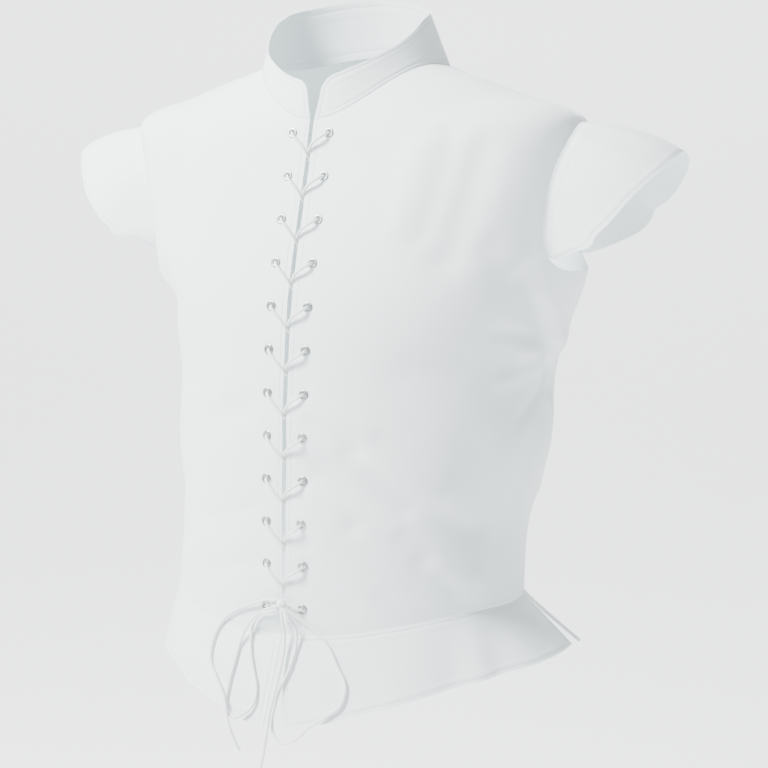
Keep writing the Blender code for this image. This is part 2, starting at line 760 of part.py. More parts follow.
def flat_collar(around, rise):
    """Where a point of the collar lies on the cut piece."""
    around, rise = np.broadcast_arrays(np.asarray(around, float), np.asarray(rise, float))
    return np.stack([NECK_RADIUS * around, COLLAR_FRONT_RISE * rise], -1)


def collar_edge(count):
    """One front edge of the collar, from the neck seam round the corner to the top."""
    start = centre_angle(np.array(NECK_UP))
    lean = COLLAR_EDGE_LEAN / NECK_RADIUS
    low = 1 - COLLAR_CORNER_DOWN / COLLAR_FRONT_RISE
    straight = np.linspace(0, 1, 3)[:-1]
    bend = np.radians(np.linspace(0, 90, count))
    across = COLLAR_CORNER_OUT / NECK_RADIUS * (1 - np.cos(bend))
    around = np.concatenate([start + lean * straight, start + lean + across])
    return around, np.concatenate([low * straight, low + (1 - low) * np.sin(bend)])


def make_collar():
    """The stand collar, in one piece from one front edge round the neck to the other."""
    ahead, across = neck_front(LEFT), neck_front(RIGHT)[::-1] + 2 * pi
    behind = round_back(NECK_UP, QUARTER, SMALL_STEP)
    foot = np.concatenate([ahead[:-1], behind[:-1], across])
    around, rise = collar_edge(6)
    ending = 2 * pi - around
    top = spaced(collar, lambda a: (a, np.ones(a.shape)), around[-1], ending[-1], SMALL_STEP)

    def run(a, r, other=None):
        a, r = np.broadcast_arrays(a, np.asarray(r, float))
        return spots(collar, flat_collar, a, r, 1, other)

    body_side = outward(body, foot, np.full(foot.shape, NECK_UP))
    outline = joined(
        run(foot, 0, body_side),
        run(ending, rise),
        run(top[::-1], 1),
        run(around[::-1], rise[::-1]),
    )
    first = np.linspace(around[0], ending[0], 30)
    middle = filling(collar, flat_collar, 1, first, THIRDS, outline, [], SMALL_STEP)
    return wall("collar", cloth, outline, [], [middle])


def flat_sleeve(turn, out):
    """Where a point of a cap sleeve lies on the cut piece."""
    turn, out = np.broadcast_arrays(np.asarray(turn, float), np.asarray(out, float))
    middle = (FRONT_NOTCH + BACK_NOTCH) / 2
    reach = (turn - middle) / (BACK_NOTCH - middle)
    deep = CAP_DEPTH * (1 - CAP_TAPER * reach ** 2)
    radius = CAP_RADIUS + CAP_SPREAD * deep * out
    return np.stack([np.radians(turn - middle) * radius, deep * out], -1)


def make_sleeve(name, side):
    """One cap sleeve, from the front notch over the shoulder to the back notch."""
    surface, facing = SLEEVES[side], sleeve_facing(side)
    ahead = armhole_turns(side, FRONT_NOTCH, 90)
    seam = np.concatenate([ahead[:-1], armhole_turns(side, 90, BACK_NOTCH)])
    around, up = armhole(seam)
    body_side = outward(body, side * around, up)
    along_hem = spaced(
        surface, lambda t: (t, np.ones(t.shape)), FRONT_NOTCH, BACK_NOTCH, SMALL_STEP)
    ends = np.array([0.0, 1.0])

    def run(t, out, other=None):
        t, out = np.broadcast_arrays(np.asarray(t, float), np.asarray(out, float))
        return spots(surface, flat_sleeve, t, out, facing, other)

    outline = joined(
        run(seam, 0, body_side),
        run(BACK_NOTCH, ends),
        run(along_hem[::-1], 1),
        run(FRONT_NOTCH, ends[::-1]),
    )
    first = np.linspace(FRONT_NOTCH, BACK_NOTCH, 24)
    second = np.linspace(0.2, 0.8, 4)
    middle = filling(surface, flat_sleeve, facing, first, second, outline, [], SMALL_STEP)
    return wall(name, cloth, outline, [], [middle])


def flat_skirt(around, drop):
    """Where a point of the skirt lies on the cut piece."""
    around, drop = np.broadcast_arrays(np.asarray(around, float), np.asarray(drop, float))
    return np.stack([WAIST_RADIUS * around * (1 + SKIRT_SPREAD * drop), -SKIRT_DEPTH * drop], -1)


def make_skirt(name, waist, start_edge, end_edge):
    """One skirt piece; its edges give the angle at a drop from the waist seam."""
    drops = np.linspace(0, 1, 4)
    starting, ending = start_edge(drops), end_edge(drops)
    hem = spaced(skirt, lambda a: (a, np.ones(a.shape)), starting[-1], ending[-1], SMALL_STEP)

    def run(a, d, other=None):
        a, d = np.broadcast_arrays(np.asarray(a, float), np.asarray(d, float))
        return spots(skirt, flat_skirt, a, d, -1, other)

    body_side = outward(body, waist, np.zeros(waist.shape))
    outline = joined(
        run(waist[::-1], 0, body_side[::-1]),
        run(starting, drops),
        run(hem, 1),
        run(ending[::-1], drops[::-1]),
    )
    columns = int(abs(waist[-1] - waist[0]) * WAIST_RADIUS / SKIRT_COLUMN)
    first = np.linspace(waist[0], waist[-1], columns)
    middle = filling(skirt, flat_skirt, -1, first, THIRDS, outline, [], SMALL_STEP)
    return wall(name, cloth, outline, [], [middle])


def split_edge(side):
    """The centre edge of a front skirt piece, which leaves the middle towards the hem."""
    girth = BODY[0].half_width
    return lambda drop: side * (FRONT_GAP / 2 + SKIRT_SPLIT * drop) / girth


def vent_edge(angle, opening):
    """A side edge of a skirt piece, which leaves the side seam towards the hem."""
    return lambda drop: angle + opening * drop


def ring_mesh(name, look, place, profile, sides):
    """A turned ring round an eyelet's axis; the profile gives radius and height."""
    middle, normal, level, rise = tangent_frame(place)
    angles = np.arange(sides) * 2 * pi / sides
    points = []
    for radius, height in profile:
        for angle in angles:
            aside = cos(angle) * level + sin(angle) * rise
            points.append(middle + radius * aside + height * normal)
    faces = []
    for i in range(len(profile)):
        j = (i + 1) % len(profile)
        for k in range(sides):
            m = (k + 1) % sides
            faces.append((i * sides + k, i * sides + m, j * sides + m, j * sides + k))
    mesh = bpy.data.meshes.new(name)
    mesh.from_pydata([tuple(p) for p in points], [], faces)
    mesh.materials.append(look)
    mesh.shade_smooth()
    mesh.set_sharp_from_angle(angle=radians(40))
    made = bpy.data.objects.new(name, mesh)
    bpy.context.collection.objects.link(made)
    return made


EYELET_PROFILE = (
    (BARREL_BORE, -CLOTH - BARREL_PAST),
    (HOLE_RADIUS - SEAM_GAP, -CLOTH - BARREL_PAST),
    (HOLE_RADIUS - SEAM_GAP, SEAM_GAP),
    (FLANGE_RADIUS, SEAM_GAP),
    (FLANGE_RADIUS - FLANGE_ROUND, SEAM_GAP + FLANGE_HEIGHT),
    (BARREL_BORE, SEAM_GAP + FLANGE_HEIGHT),
)

for side, word in ((RIGHT, "right"), (LEFT, "left")):
    make_front("front_" + word, side)
    make_sleeve("sleeve_" + word, side)
    side_vent = vent_edge(side * SIDE, -side * VENT_OPEN)
    make_skirt("skirt_front_" + word, waist_front(side), split_edge(side), side_vent)
    for number, place in enumerate(eyelet_places(side), 1):
        ring_mesh(f"eyelet_{word}_{number:02d}", steel, place, EYELET_PROFILE, HOLE_SIDES)
make_back()
make_collar()
back_vents = vent_edge(SIDE, VENT_OPEN), vent_edge(4 * QUARTER - SIDE, -VENT_OPEN)
make_skirt("skirt_back", round_back(0, SIDE, CLOTH_STEP), *back_vents)


def lace_point(x, z, out):
    """A point of the lacing, by its x and z and how far out from the cloth it lies."""
    around, up = body_at(x, z)
    normal = outward(body, np.array([around]), np.array([up]))[0]
    return body(around, up) + normal * out


def tube(name, look, points, diameter):
    """A round cord along its centre points, with filled ends."""
    curve = bpy.data.curves.new(name, "CURVE")
    curve.dimensions = "3D"
    curve.bevel_depth = diameter / 2
    curve.bevel_resolution = LACE_RESOLUTION
    curve.use_fill_caps = True
    spline = curve.splines.new("POLY")
    spline.points.add(len(points) - 1)
    for point, place in zip(spline.points, points):
        point.co = (*place, 1)
    curve.materials.append(look)
    made = bpy.data.objects.new(name, curve)
    bpy.context.collection.objects.link(made)
    return made


def cord(name, route):
    """A free cord along one smooth curve through its route."""
    places = np.array(route) / 1000
    run = np.concatenate([[0], np.cumsum(np.linalg.norm(np.diff(places, axis=0), axis=1))])
    rows = np.column_stack([run, places])
    fine = through(rows, np.linspace(0, run[-1], 1001))[:, 1:]
    length = np.concatenate([[0], np.cumsum(np.linalg.norm(np.diff(fine, axis=0), axis=1))])
    even = np.linspace(0, length[-1], ceil(length[-1] / CORD_STEP) + 1)
    points = np.column_stack([np.interp(even, length, axis) for axis in fine.T])
    return tube(name, lace_look, points, LACE)


def lace_half(side):
    """The held half of the lace that goes out through the top eyelet on one side first."""
    reach = 1000 * (EYELET_IN + FRONT_GAP / 2)
    pitch = 1000 * EYELET_PITCH
    length = np.hypot(reach, pitch / 2)
    slant, fall = reach / length, pitch / 2 / length
    points = []

    def add(start, level, across, down, out):
        """Across counts from the starting side; all three are in millimetres."""
        z = EYELET_TOP - level * EYELET_PITCH - down / 1000
        points.append(lace_point(-start * across / 1000, z, out / 1000))

    add(-side, 0, TOP_BAR_START, 0, TOP_BAR_OUT)
    for bend in EYELET_ARRIVE:
        add(-side, 0, reach - bend.aside, 0, bend.out)
    at = side
    for level in range(EYELETS - 1):
        add(at, level, -reach, 0, EYELET_MIDDLE_OUT)
        for bend in EYELET_LEAVE:
            aside, below = slant * bend.aside, fall * bend.aside
            add(at, level, aside - reach, below, bend.out)
        shift = CROSSING_SHIFT * (side if level % 2 else -side)
        for row in LACE_PASS:
            add(at, level, row.across, row.down + shift, row.out)
        for bend in EYELET_ARRIVE:
            aside, below = slant * bend.aside, fall * bend.aside
            add(at, level, reach - aside, pitch - below, bend.out)
        at = -at
    add(at, EYELETS - 1, -reach, 0, EYELET_MIDDLE_OUT)
    for bend in EYELET_LEAVE:
        add(at, EYELETS - 1, bend.aside - reach, 0, bend.out)
    for row in LACE_END:
        add(at, EYELETS - 1, *row)
    return points


def ovoid(name, look, centre, half):
    """A rounded closed lump with its half sizes across, deep and high."""
    mesh = bpy.data.meshes.new(name)
    shape = bmesh.new()
    bmesh.ops.create_icosphere(shape, subdivisions=2, radius=1)
    for vert in shape.verts:
        vert.co = Vector([c + h * v for c, h, v in zip(centre, half, vert.co)])
    shape.to_mesh(mesh)
    shape.free()
    mesh.materials.append(look)
    mesh.shade_smooth()
    made = bpy.data.objects.new(name, mesh)
    bpy.context.collection.objects.link(made)
    return made


tube("lace_left_half", lace_look, lace_half(LEFT), LACE)
tube("lace_right_half", lace_look, lace_half(RIGHT), LACE)
ovoid("lace_knot", lace_look, lace_point(0.0, KNOT_Z, KNOT_OUT), KNOT_HALF)
cord("tail_right", TAIL_RIGHT)
cord("tail_left", TAIL_LEFT)
cord("loop_right", LOOP_RIGHT)
cord("loop_left", LOOP_LEFT)
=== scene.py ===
"""A white laced doublet, held up as if worn, with its bow hanging over the short skirt.

Metres, +Z up. The wearer faces -Y and the wearer's left is +X. The origin lies midway between
the two points where the shoulder seams reach the neck seam.
"""

import bpy
import bmesh
import numpy as np
from collections import namedtuple
from math import ceil, cos, pi, radians, sin
from mathutils import Matrix, Vector
from mathutils.geometry import delaunay_2d_cdt


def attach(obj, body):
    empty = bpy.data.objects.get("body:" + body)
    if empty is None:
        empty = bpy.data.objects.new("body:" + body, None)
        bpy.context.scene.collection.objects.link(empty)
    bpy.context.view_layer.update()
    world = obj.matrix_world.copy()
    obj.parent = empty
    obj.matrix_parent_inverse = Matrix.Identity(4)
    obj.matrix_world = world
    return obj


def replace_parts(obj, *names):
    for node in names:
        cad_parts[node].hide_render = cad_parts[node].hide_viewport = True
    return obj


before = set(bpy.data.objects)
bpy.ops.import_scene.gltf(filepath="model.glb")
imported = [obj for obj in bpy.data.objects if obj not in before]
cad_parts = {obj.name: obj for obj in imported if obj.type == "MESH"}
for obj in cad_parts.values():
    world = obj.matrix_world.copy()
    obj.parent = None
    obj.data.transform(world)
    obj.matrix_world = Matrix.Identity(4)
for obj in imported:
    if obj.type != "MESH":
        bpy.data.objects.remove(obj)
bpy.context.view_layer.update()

# Camera
# It stands 1.8 m in front of the wearer's left side, level with the chest, and looks a little
# down, as in the photograph.
CAMERA_PLACE = Vector((0.8024, -1.6031, -0.1381))
CAMERA_YAW, CAMERA_PITCH, CAMERA_ROLL = 0.4482, 0.0909, 0.0143
CAMERA_LENS = 88.07

ahead = Vector((-sin(CAMERA_YAW) * cos(CAMERA_PITCH), cos(CAMERA_YAW) * cos(CAMERA_PITCH), -sin(CAMERA_PITCH)))
level = Vector((cos(CAMERA_YAW), sin(CAMERA_YAW), 0))
above = level.cross(ahead)
across = cos(CAMERA_ROLL) * level + sin(CAMERA_ROLL) * above
upright = cos(CAMERA_ROLL) * above - sin(CAMERA_ROLL) * level
placed = Matrix((across, upright, -ahead)).transposed().to_4x4()
placed.translation = CAMERA_PLACE
camera = bpy.data.objects.new("camera", bpy.data.cameras.new("camera"))
camera.data.lens = CAMERA_LENS
camera.data.sensor_width = 36
camera.data.clip_start = 0.05
camera.data.clip_end = 60
camera.matrix_world = placed
bpy.context.collection.objects.link(camera)
bpy.context.scene.camera = camera

# Fronts
# Two pieces of one white cotton twill, cut from the centre edge to the side seam, unlined. The
# shape is the wearer's, with the pulls that the lacing and the raised arms leave in the cloth.
CLOTH = 0.0013
SEAM_GAP = 0.0003
FRONT_GAP = 0.0040
CLOTH_STEP = 0.0058
QUARTER = pi / 2
LEFT, RIGHT = 1, -1
CLOTH_COLOUR = (0.83, 0.89, 0.905)
Ring = namedtuple(
    "Ring",
    "up half_width shift y_front y_side y_back z_front z_side z_back round_front round_back",
)
BODY = (
    Ring(0.000, 0.1720, 0.002, -0.136, -0.010, 0.114, -0.518, -0.492, -0.480, 0.000, 0.030),
    Ring(0.070, 0.1715, 0.005, -0.137, -0.007, 0.118, -0.447, -0.426, -0.412, 0.000, 0.030),
    Ring(0.150, 0.1840, 0.009, -0.138, 0.002, 0.140, -0.366, -0.348, -0.334, 0.000, 0.035),
    Ring(0.225, 0.1850, 0.010, -0.137, 0.006, 0.150, -0.290, -0.274, -0.260, 0.005, 0.040),
    Ring(0.305, 0.2145, 0.009, -0.130, 0.008, 0.149, -0.212, -0.188, -0.184, 0.020, 0.040),
    Ring(0.350, 0.2190, 0.009, -0.120, 0.006, 0.142, -0.168, -0.142, -0.134, 0.040, 0.040),
    Ring(0.395, 0.2250, 0.006, -0.109, -0.003, 0.129, -0.126, -0.094, -0.084, 0.050, 0.040),
    Ring(0.435, 0.2270, 0.002, -0.101, -0.010, 0.113, -0.097, -0.055, -0.046, 0.040, 0.040),
    Ring(0.500, 0.1620, 0.000, -0.096, -0.005, 0.088, -0.072, -0.027, -0.010, 0.030, 0.030),
    Ring(0.583, 0.0890, 0.000, -0.092, 0.005, 0.060, -0.055, -0.001, 0.013, 0.020, 0.020),
)
NECK_UP = BODY[-1].up
UNDERARM_UP = 0.305
SHOULDER_UP = 0.435
RING_DIP = 3
USUAL_HALF_WIDTH = 0.17

# Each fold runs from one end to the other: degrees round from the centre front and metres up
# from the waist seam, then its half width and its height, which is negative in a trough
Fold = namedtuple("Fold", "around_a up_a around_b up_b width height")
FOLDS = (
    Fold(38, 0.33, 42, 0.42, 0.016, -0.004),
    Fold(6, 0.19, 44, 0.12, 0.016, 0.003),
    Fold(8, 0.11, 62, 0.03, 0.018, 0.004),
    Fold(12, 0.145, 60, 0.075, 0.015, -0.003),
    Fold(62, 0.30, 100, 0.20, 0.014, -0.006),
    Fold(72, 0.24, 104, 0.245, 0.012, 0.004),
    Fold(-14, 0.20, -34, 0.17, 0.012, -0.002),
    Fold(-60, 0.09, -78, 0.14, 0.014, -0.003),
    Fold(-52, 0.280, -96, 0.255, 0.024, -0.010),
    Fold(-150, 0.36, -158, 0.10, 0.022, 0.003),
    Fold(150, 0.34, 160, 0.12, 0.022, 0.003),
    Fold(-118, 0.08, -166, 0.03, 0.018, 0.004),
    Fold(116, 0.10, 164, 0.04, 0.018, 0.004),
    Fold(31, 0.350, 37, 0.455, 0.009, -0.0022),
    Fold(24, 0.360, 27, 0.440, 0.010, 0.0014),
    Fold(7, 0.192, 21, 0.163, 0.0075, -0.0022),
    Fold(19, 0.163, 37, 0.108, 0.0090, -0.0026),
    Fold(7, 0.205, 24, 0.181, 0.0080, 0.0018),
    Fold(7, 0.118, 22, 0.096, 0.0070, -0.0020),
    Fold(21, 0.095, 44, 0.057, 0.0085, -0.0026),
    Fold(43, 0.058, 56, 0.020, 0.0080, -0.0018),
    Fold(9, 0.130, 33, 0.090, 0.0080, 0.0020),
    Fold(8, 0.060, 21, 0.024, 0.0070, -0.0016),
    Fold(10, 0.072, 27, 0.036, 0.0070, 0.0014),
    Fold(56, 0.150, 64, 0.088, 0.0200, -0.0030),
    Fold(34, 0.230, 48, 0.226, 0.0160, -0.0016),
    Fold(48, 0.330, 64, 0.270, 0.0140, -0.0024),
    Fold(58, 0.259, 94, 0.238, 0.0065, -0.0024),
    Fold(64, 0.213, 95, 0.232, 0.0070, 0.0020),
    Fold(70, 0.290, 96, 0.245, 0.0060, 0.0020),
    Fold(74, 0.180, 96, 0.222, 0.0065, -0.0020),
    Fold(76, 0.060, 80, 0.150, 0.0120, -0.0018),
    Fold(-19, 0.206, -8, 0.175, 0.0075, -0.0016),
    Fold(-42, 0.118, -34, 0.085, 0.0080, -0.0018),
    Fold(-58, 0.022, -36, 0.058, 0.0080, 0.0016),
    Fold(-9, 0.112, -30, 0.086, 0.0080, -0.0014),
    Fold(-8, 0.064, -36, 0.030, 0.0080, -0.0014),
    Fold(-34, 0.350, -38, 0.440, 0.0100, -0.0016),
    Fold(-60, 0.300, -88, 0.262, 0.0065, 0.0018),
    Fold(-64, 0.235, -94, 0.252, 0.0070, -0.0020),
    Fold(-134, 0.330, -150, 0.240, 0.0120, -0.0026),
    Fold(-146, 0.200, -172, 0.150, 0.0110, -0.0020),
    Fold(134, 0.340, 148, 0.250, 0.0110, -0.0028),
    Fold(138, 0.210, 168, 0.165, 0.0110, -0.0018),
    Fold(-120, 0.120, -160, 0.070, 0.0090, -0.0022),
    Fold(122, 0.140, 158, 0.082, 0.0090, -0.0024),
    Fold(112, 0.260, 128, 0.210, 0.0080, -0.0022),
    Fold(-112, 0.250, -130, 0.200, 0.0080, -0.0020),
    Fold(170, 0.470, 186, 0.400, 0.0120, -0.0016),
)
ARMHOLE_FRONT = 26
ARMHOLE_BACK = 37
ARMHOLE_SQUARE = 0.60
SIDE_TURN = 258
EYELETS = 12
EYELET_TOP = -0.0674
EYELET_PITCH = 0.0388
EYELET_IN = 0.0165
HOLE_RADIUS = 0.0032
HOLE_SIDES = 20


def through(rows, at):
    """The rows of a table joined by one smooth curve, read at the given places."""
    table = np.array(rows, float)
    knots = table[:, 0]
    slope = np.gradient(table, knots, axis=0)
    at = np.asarray(at, float)
    low = np.clip(np.searchsorted(knots, at, side="right") - 1, 0, len(knots) - 2)
    span = (knots[low + 1] - knots[low])[..., None]
    f = (at[..., None] - knots[low][..., None]) / span
    start, end = table[low], table[low + 1]
    leave, reach = slope[low] * span, slope[low + 1] * span
    curve = start + f * leave + f * f * (3 * (end - start) - 2 * leave - reach)
    return curve + f ** 3 * (2 * (start - end) + leave + reach)


def unit(vectors):
    """Each vector at length one."""
    return vectors / np.linalg.norm(vectors, axis=-1, keepdims=True)


def smooth_body(around, up):
    """The body without its folds; around is in radians from the centre front to +X."""
    around, up = np.broadcast_arrays(np.asarray(around, float), np.asarray(up, float))
    ring = Ring(*np.moveaxis(through(BODY, up), -1, 0))
    ahead, aside = np.cos(around), np.sin(around)
    fuller = 1 + np.where(ahead > 0, ring.round_front, ring.round_back) * np.sin(2 * around) ** 2
    deep = np.where(ahead > 0, ring.y_front, ring.y_back) - ring.y_side
    lift = np.where(ahead > 0, ring.z_front, ring.z_back) - ring.z_side
    x = ring.half_width * aside * fuller + ring.shift * aside ** 2
    y = ring.y_side + deep * np.abs(ahead) * fuller
    return np.stack([x, y, ring.z_side + lift * np.abs(ahead) ** RING_DIP], -1)


def outward(surface, first, second, step=1e-4):
    """Unit normals of a surface by its two directions, the second of which runs up."""
    along = surface(first + step, second) - surface(first - step, second)
    upward = surface(first, second + step) - surface(first, second - step)
    return unit(np.cross(along, upward))


def measured(around):
    """Length up the body from the waist seam, at one angle, as a table over up."""
    ups = np.linspace(0, NECK_UP, 121)
    points = smooth_body(around, ups)
    steps = np.linalg.norm(np.diff(points, axis=0), axis=1)
    return ups, np.concatenate([[0], np.cumsum(steps)])


def quarter_girth(start):
    """Length round a quarter of the body from the given angle, as a table over up."""
    ups = np.linspace(0, NECK_UP, 121)
    angles = np.linspace(start, start + QUARTER, 41)
    points = smooth_body(angles[:, None], ups[None, :])
    return ups, np.linalg.norm(np.diff(points, axis=0), axis=2).sum(axis=0)


FRONT_LENGTH = measured(0.0)
SIDE_LENGTH = measured(QUARTER)
BACK_LENGTH = measured(2 * QUARTER)
FRONT_GIRTH = quarter_girth(0.0)
BACK_GIRTH = quarter_girth(QUARTER)


def flat_front(around, up):
    """Where a point of a front lies on the cut piece: metres from the centre front, and up."""
    turn = around / QUARTER
    upright = np.cos(around) ** 2
    high = np.interp(up, *FRONT_LENGTH) * upright + np.interp(up, *SIDE_LENGTH) * (1 - upright)
    return np.stack([turn * np.interp(up, *FRONT_GIRTH), high], -1)


def flat_back(around, up):
    """The same for the back, from the centre back."""
    turn = 2 - around / QUARTER
    upright = np.cos(around) ** 2
    high = np.interp(up, *BACK_LENGTH) * upright + np.interp(up, *SIDE_LENGTH) * (1 - upright)
    return np.stack([turn * np.interp(up, *BACK_GIRTH), high], -1)


def flat_body(around, up):
    """The cut piece of whichever quarter a point lies in, the back one set beside the front."""
    side = np.sign(around)
    turned = np.abs(around)
    front = flat_front(turned, up)
    back = flat_back(turned, up)
    beside = np.interp(up, *FRONT_GIRTH) + np.interp(up, *BACK_GIRTH)
    s = np.where(turned <= QUARTER, front[..., 0], beside - back[..., 0])
    t = np.where(turned <= QUARTER, front[..., 1], back[..., 1])
    return np.stack([side * s, t], -1)


FOLD_START = np.array([flat_body(np.array(radians(f.around_a)), np.array(f.up_a)) for f in FOLDS])
FOLD_END = np.array([flat_body(np.array(radians(f.around_b)), np.array(f.up_b)) for f in FOLDS])
FOLD_RUN = FOLD_END - FOLD_START
FOLD_WIDTH = np.array([fold.width for fold in FOLDS])
FOLD_HEIGHT = np.array([fold.height for fold in FOLDS])


def wrinkle(around, up):
    """How far the folds lift the cloth off the smooth body."""
    wrapped = np.arctan2(np.sin(around), np.cos(around))
    here = flat_body(wrapped, up)[..., None, :] - FOLD_START
    place = np.clip((here * FOLD_RUN).sum(axis=-1) / (FOLD_RUN ** 2).sum(axis=-1), 0, 1)
    off = np.linalg.norm(here - place[..., None] * FOLD_RUN, axis=-1)
    return (FOLD_HEIGHT * np.exp(-(off / FOLD_WIDTH) ** 2)).sum(axis=-1)


def body(around, up):
    """The body's outer face with its folds."""
    around, up = np.broadcast_arrays(np.asarray(around, float), np.asarray(up, float))
    raised = outward(smooth_body, around, up) * wrinkle(around, up)[..., None]
    return smooth_body(around, up) + raised


def armhole(turn):
    """Round the left armhole: 0 is its front edge, 90 the shoulder and 180 its back edge."""
    turn = np.radians(turn)
    across, high = np.cos(turn), np.sin(turn)
    reach = np.where(across > 0, ARMHOLE_FRONT, -ARMHOLE_BACK)
    square = np.where(high < 0, ARMHOLE_SQUARE, 1.0)
    around = QUARTER - np.radians(reach) * np.abs(across) ** square
    middle = (SHOULDER_UP + UNDERARM_UP) / 2
    return around, middle + (SHOULDER_UP - middle) * np.sign(high) * np.abs(high) ** square


SIDE, SIDE_UP = (float(value) for value in armhole(SIDE_TURN))
Spots = namedtuple("Spots", "outer inward flat")


def spots(surface, flat, first, second, facing=1, other=None):
    """Points of a piece with the way through the cloth at each, mitred to a neighbour's."""
    first, second = np.asarray(first, float), np.asarray(second, float)
    normal = outward(surface, first, second) * facing
    beside = normal if other is None else other
    bevel = (normal + beside) / (1 + (normal * beside).sum(axis=-1, keepdims=True))
    return Spots(surface(first, second), -CLOTH * bevel, flat(first, second))


def joined(*runs):
    """Several runs of spots as one, each without its last point, which starts the next."""
    kept = zip(*[[values[:-1] for values in run] for run in runs])
    return Spots(*[np.concatenate(values) for values in kept])


def spaced(surface, path, start, end, step):
    """Places along a path, evenly spaced on the surface and about a step apart."""
    fine = np.linspace(start, end, 401)
    points = surface(*path(fine))
    length = np.concatenate([[0], np.cumsum(np.linalg.norm(np.diff(points, axis=0), axis=1))])
    count = max(1, ceil(length[-1] / step - 0.35))
    return np.interp(np.linspace(0, length[-1], count + 1), length, fine)


def inset(outline, distance):
    """The outline moved in across the cloth, so that neighbours stand a seam gap apart."""
    normal = -unit(outline.inward)
    before = np.roll(outline.outer, 1, axis=0)
    after = np.roll(outline.outer, -1, axis=0)
    fan = np.cross(outline.outer, after).sum(axis=0)
    turn = np.sign((fan * normal.mean(axis=0)).sum())
    arriving = unit(np.cross(normal, outline.outer - before)) * turn
    leaving = unit(np.cross(normal, after - outline.outer)) * turn
    square = 1 + (arriving * leaving).sum(axis=1, keepdims=True)
    moved = outline.outer + distance * (arriving + leaving) / np.maximum(square, 0.25)
    return Spots(moved, outline.inward, outline.flat)


def inside(points, ring):
    """Which flat points lie inside a closed outline."""
    found = np.zeros(len(points), bool)
    for (ax, ay), (bx, by) in zip(ring, np.roll(ring, -1, axis=0)):
        crosses = (ay > points[:, 1]) != (by > points[:, 1])
        run = np.where(by == ay, 1.0, by - ay)
        found ^= crosses & (points[:, 0] < ax + (points[:, 1] - ay) * (bx - ax) / run)
    return found


def edge_distance(points, ring):
    """How far each flat point lies from a closed outline."""
    nearest = np.full(len(points), 1.0)
    for a, b in zip(ring, np.roll(ring, -1, axis=0)):
        run = b - a
        place = np.clip(((points - a) @ run) / max(run @ run, 1e-12), 0, 1)
        nearest = np.minimum(nearest, np.linalg.norm(points - a - place[:, None] * run, axis=1))
    return nearest


def filling(surface, flat, facing, first, second, outline, holes, step):
    """Staggered rows of points inside an outline, a step apart and clear of its edges."""
    a, b = [], []
    for row, high in enumerate(second):
        fine = np.linspace(first[0], first[1], 301)
        places = flat(fine, np.full(fine.shape, high))
        run = np.concatenate([[0], np.cumsum(np.linalg.norm(np.diff(places, axis=0), axis=1))])
        count = max(2, int(run[-1] / step))
        at = (np.arange(count) + 0.5 * (row % 2) + 0.25) * run[-1] / count
        a.append(np.interp(at, run, fine))
        b.append(np.full(count, high))
    a, b = np.concatenate(a), np.concatenate(b)
    places = flat(a, b)
    keep = inside(places, outline.flat) & (edge_distance(places, outline.flat) > 0.55 * step)
    for hole in holes:
        close = np.linalg.norm(places - hole.flat.mean(axis=0), axis=1)
        keep &= close > np.linalg.norm(hole.flat - hole.flat.mean(axis=0), axis=1).max() + 0.4 * step
    return spots(surface, flat, a[keep], b[keep], facing)


def linked(name, mesh, look):
    """An object of a mesh and one material, carried by the part."""
    mesh.materials.append(look)
    made = bpy.data.objects.new(name, mesh)
    bpy.context.collection.objects.link(made)
    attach(made, "root")
    return made


def panel(name, look, outline, holes, extra):
    """A thin closed cloth piece from its outline, its holes and the points inside it."""
    outline = inset(outline, SEAM_GAP / 2)
    groups = [outline, *holes, *extra]
    outer = np.concatenate([group.outer for group in groups])
    through_cloth = np.concatenate([group.inward for group in groups])
    flat = np.concatenate([group.flat for group in groups])
    loops, start = [], 0
    for ring in [outline, *holes]:
        loops.append(list(range(start, start + len(ring.outer))))
        start += len(ring.outer)
    cut = delaunay_2d_cdt([Vector(p) for p in flat], [], loops, 2 if holes else 1, 1e-7)
    source = [origin[0] for origin in cut[3]]
    outer, through_cloth, flat = outer[source], through_cloth[source], flat[source]
    count = len(source)
    points = np.concatenate([outer, outer + through_cloth])
    faces, edges = [], {}
    for a, b, c in cut[2]:
        up = np.cross(points[b] - points[a], points[c] - points[a])
        if up @ through_cloth[a] > 0:
            b, c = c, b
        faces.append((a, b, c))
        faces.append((a + count, c + count, b + count))
        for edge in ((a, b), (b, c), (c, a)):
            edges[edge] = True
    for a, b in edges:
        if (b, a) not in edges:
            faces.append((b, a, a + count, b + count))
    mesh = bpy.data.meshes.new(name)
    mesh.from_pydata(points.tolist(), [], faces)
    corner = np.empty(len(mesh.loops), np.int32)
    mesh.loops.foreach_get("vertex_index", corner)
    cut_uv = mesh.uv_layers.new(name="cut")
    cut_uv.data.foreach_set("uv", np.concatenate([flat, flat])[corner].astype(np.float32).ravel())
    edge = mesh.attributes.new("edge", "FLOAT", "POINT")
    apart = edge_distance(flat, outline.flat)
    edge.data.foreach_set("value", np.concatenate([apart, apart]).astype(np.float32))
    mesh.shade_smooth()
    mesh.set_sharp_from_angle(angle=radians(50))
    return linked(name, mesh, look)


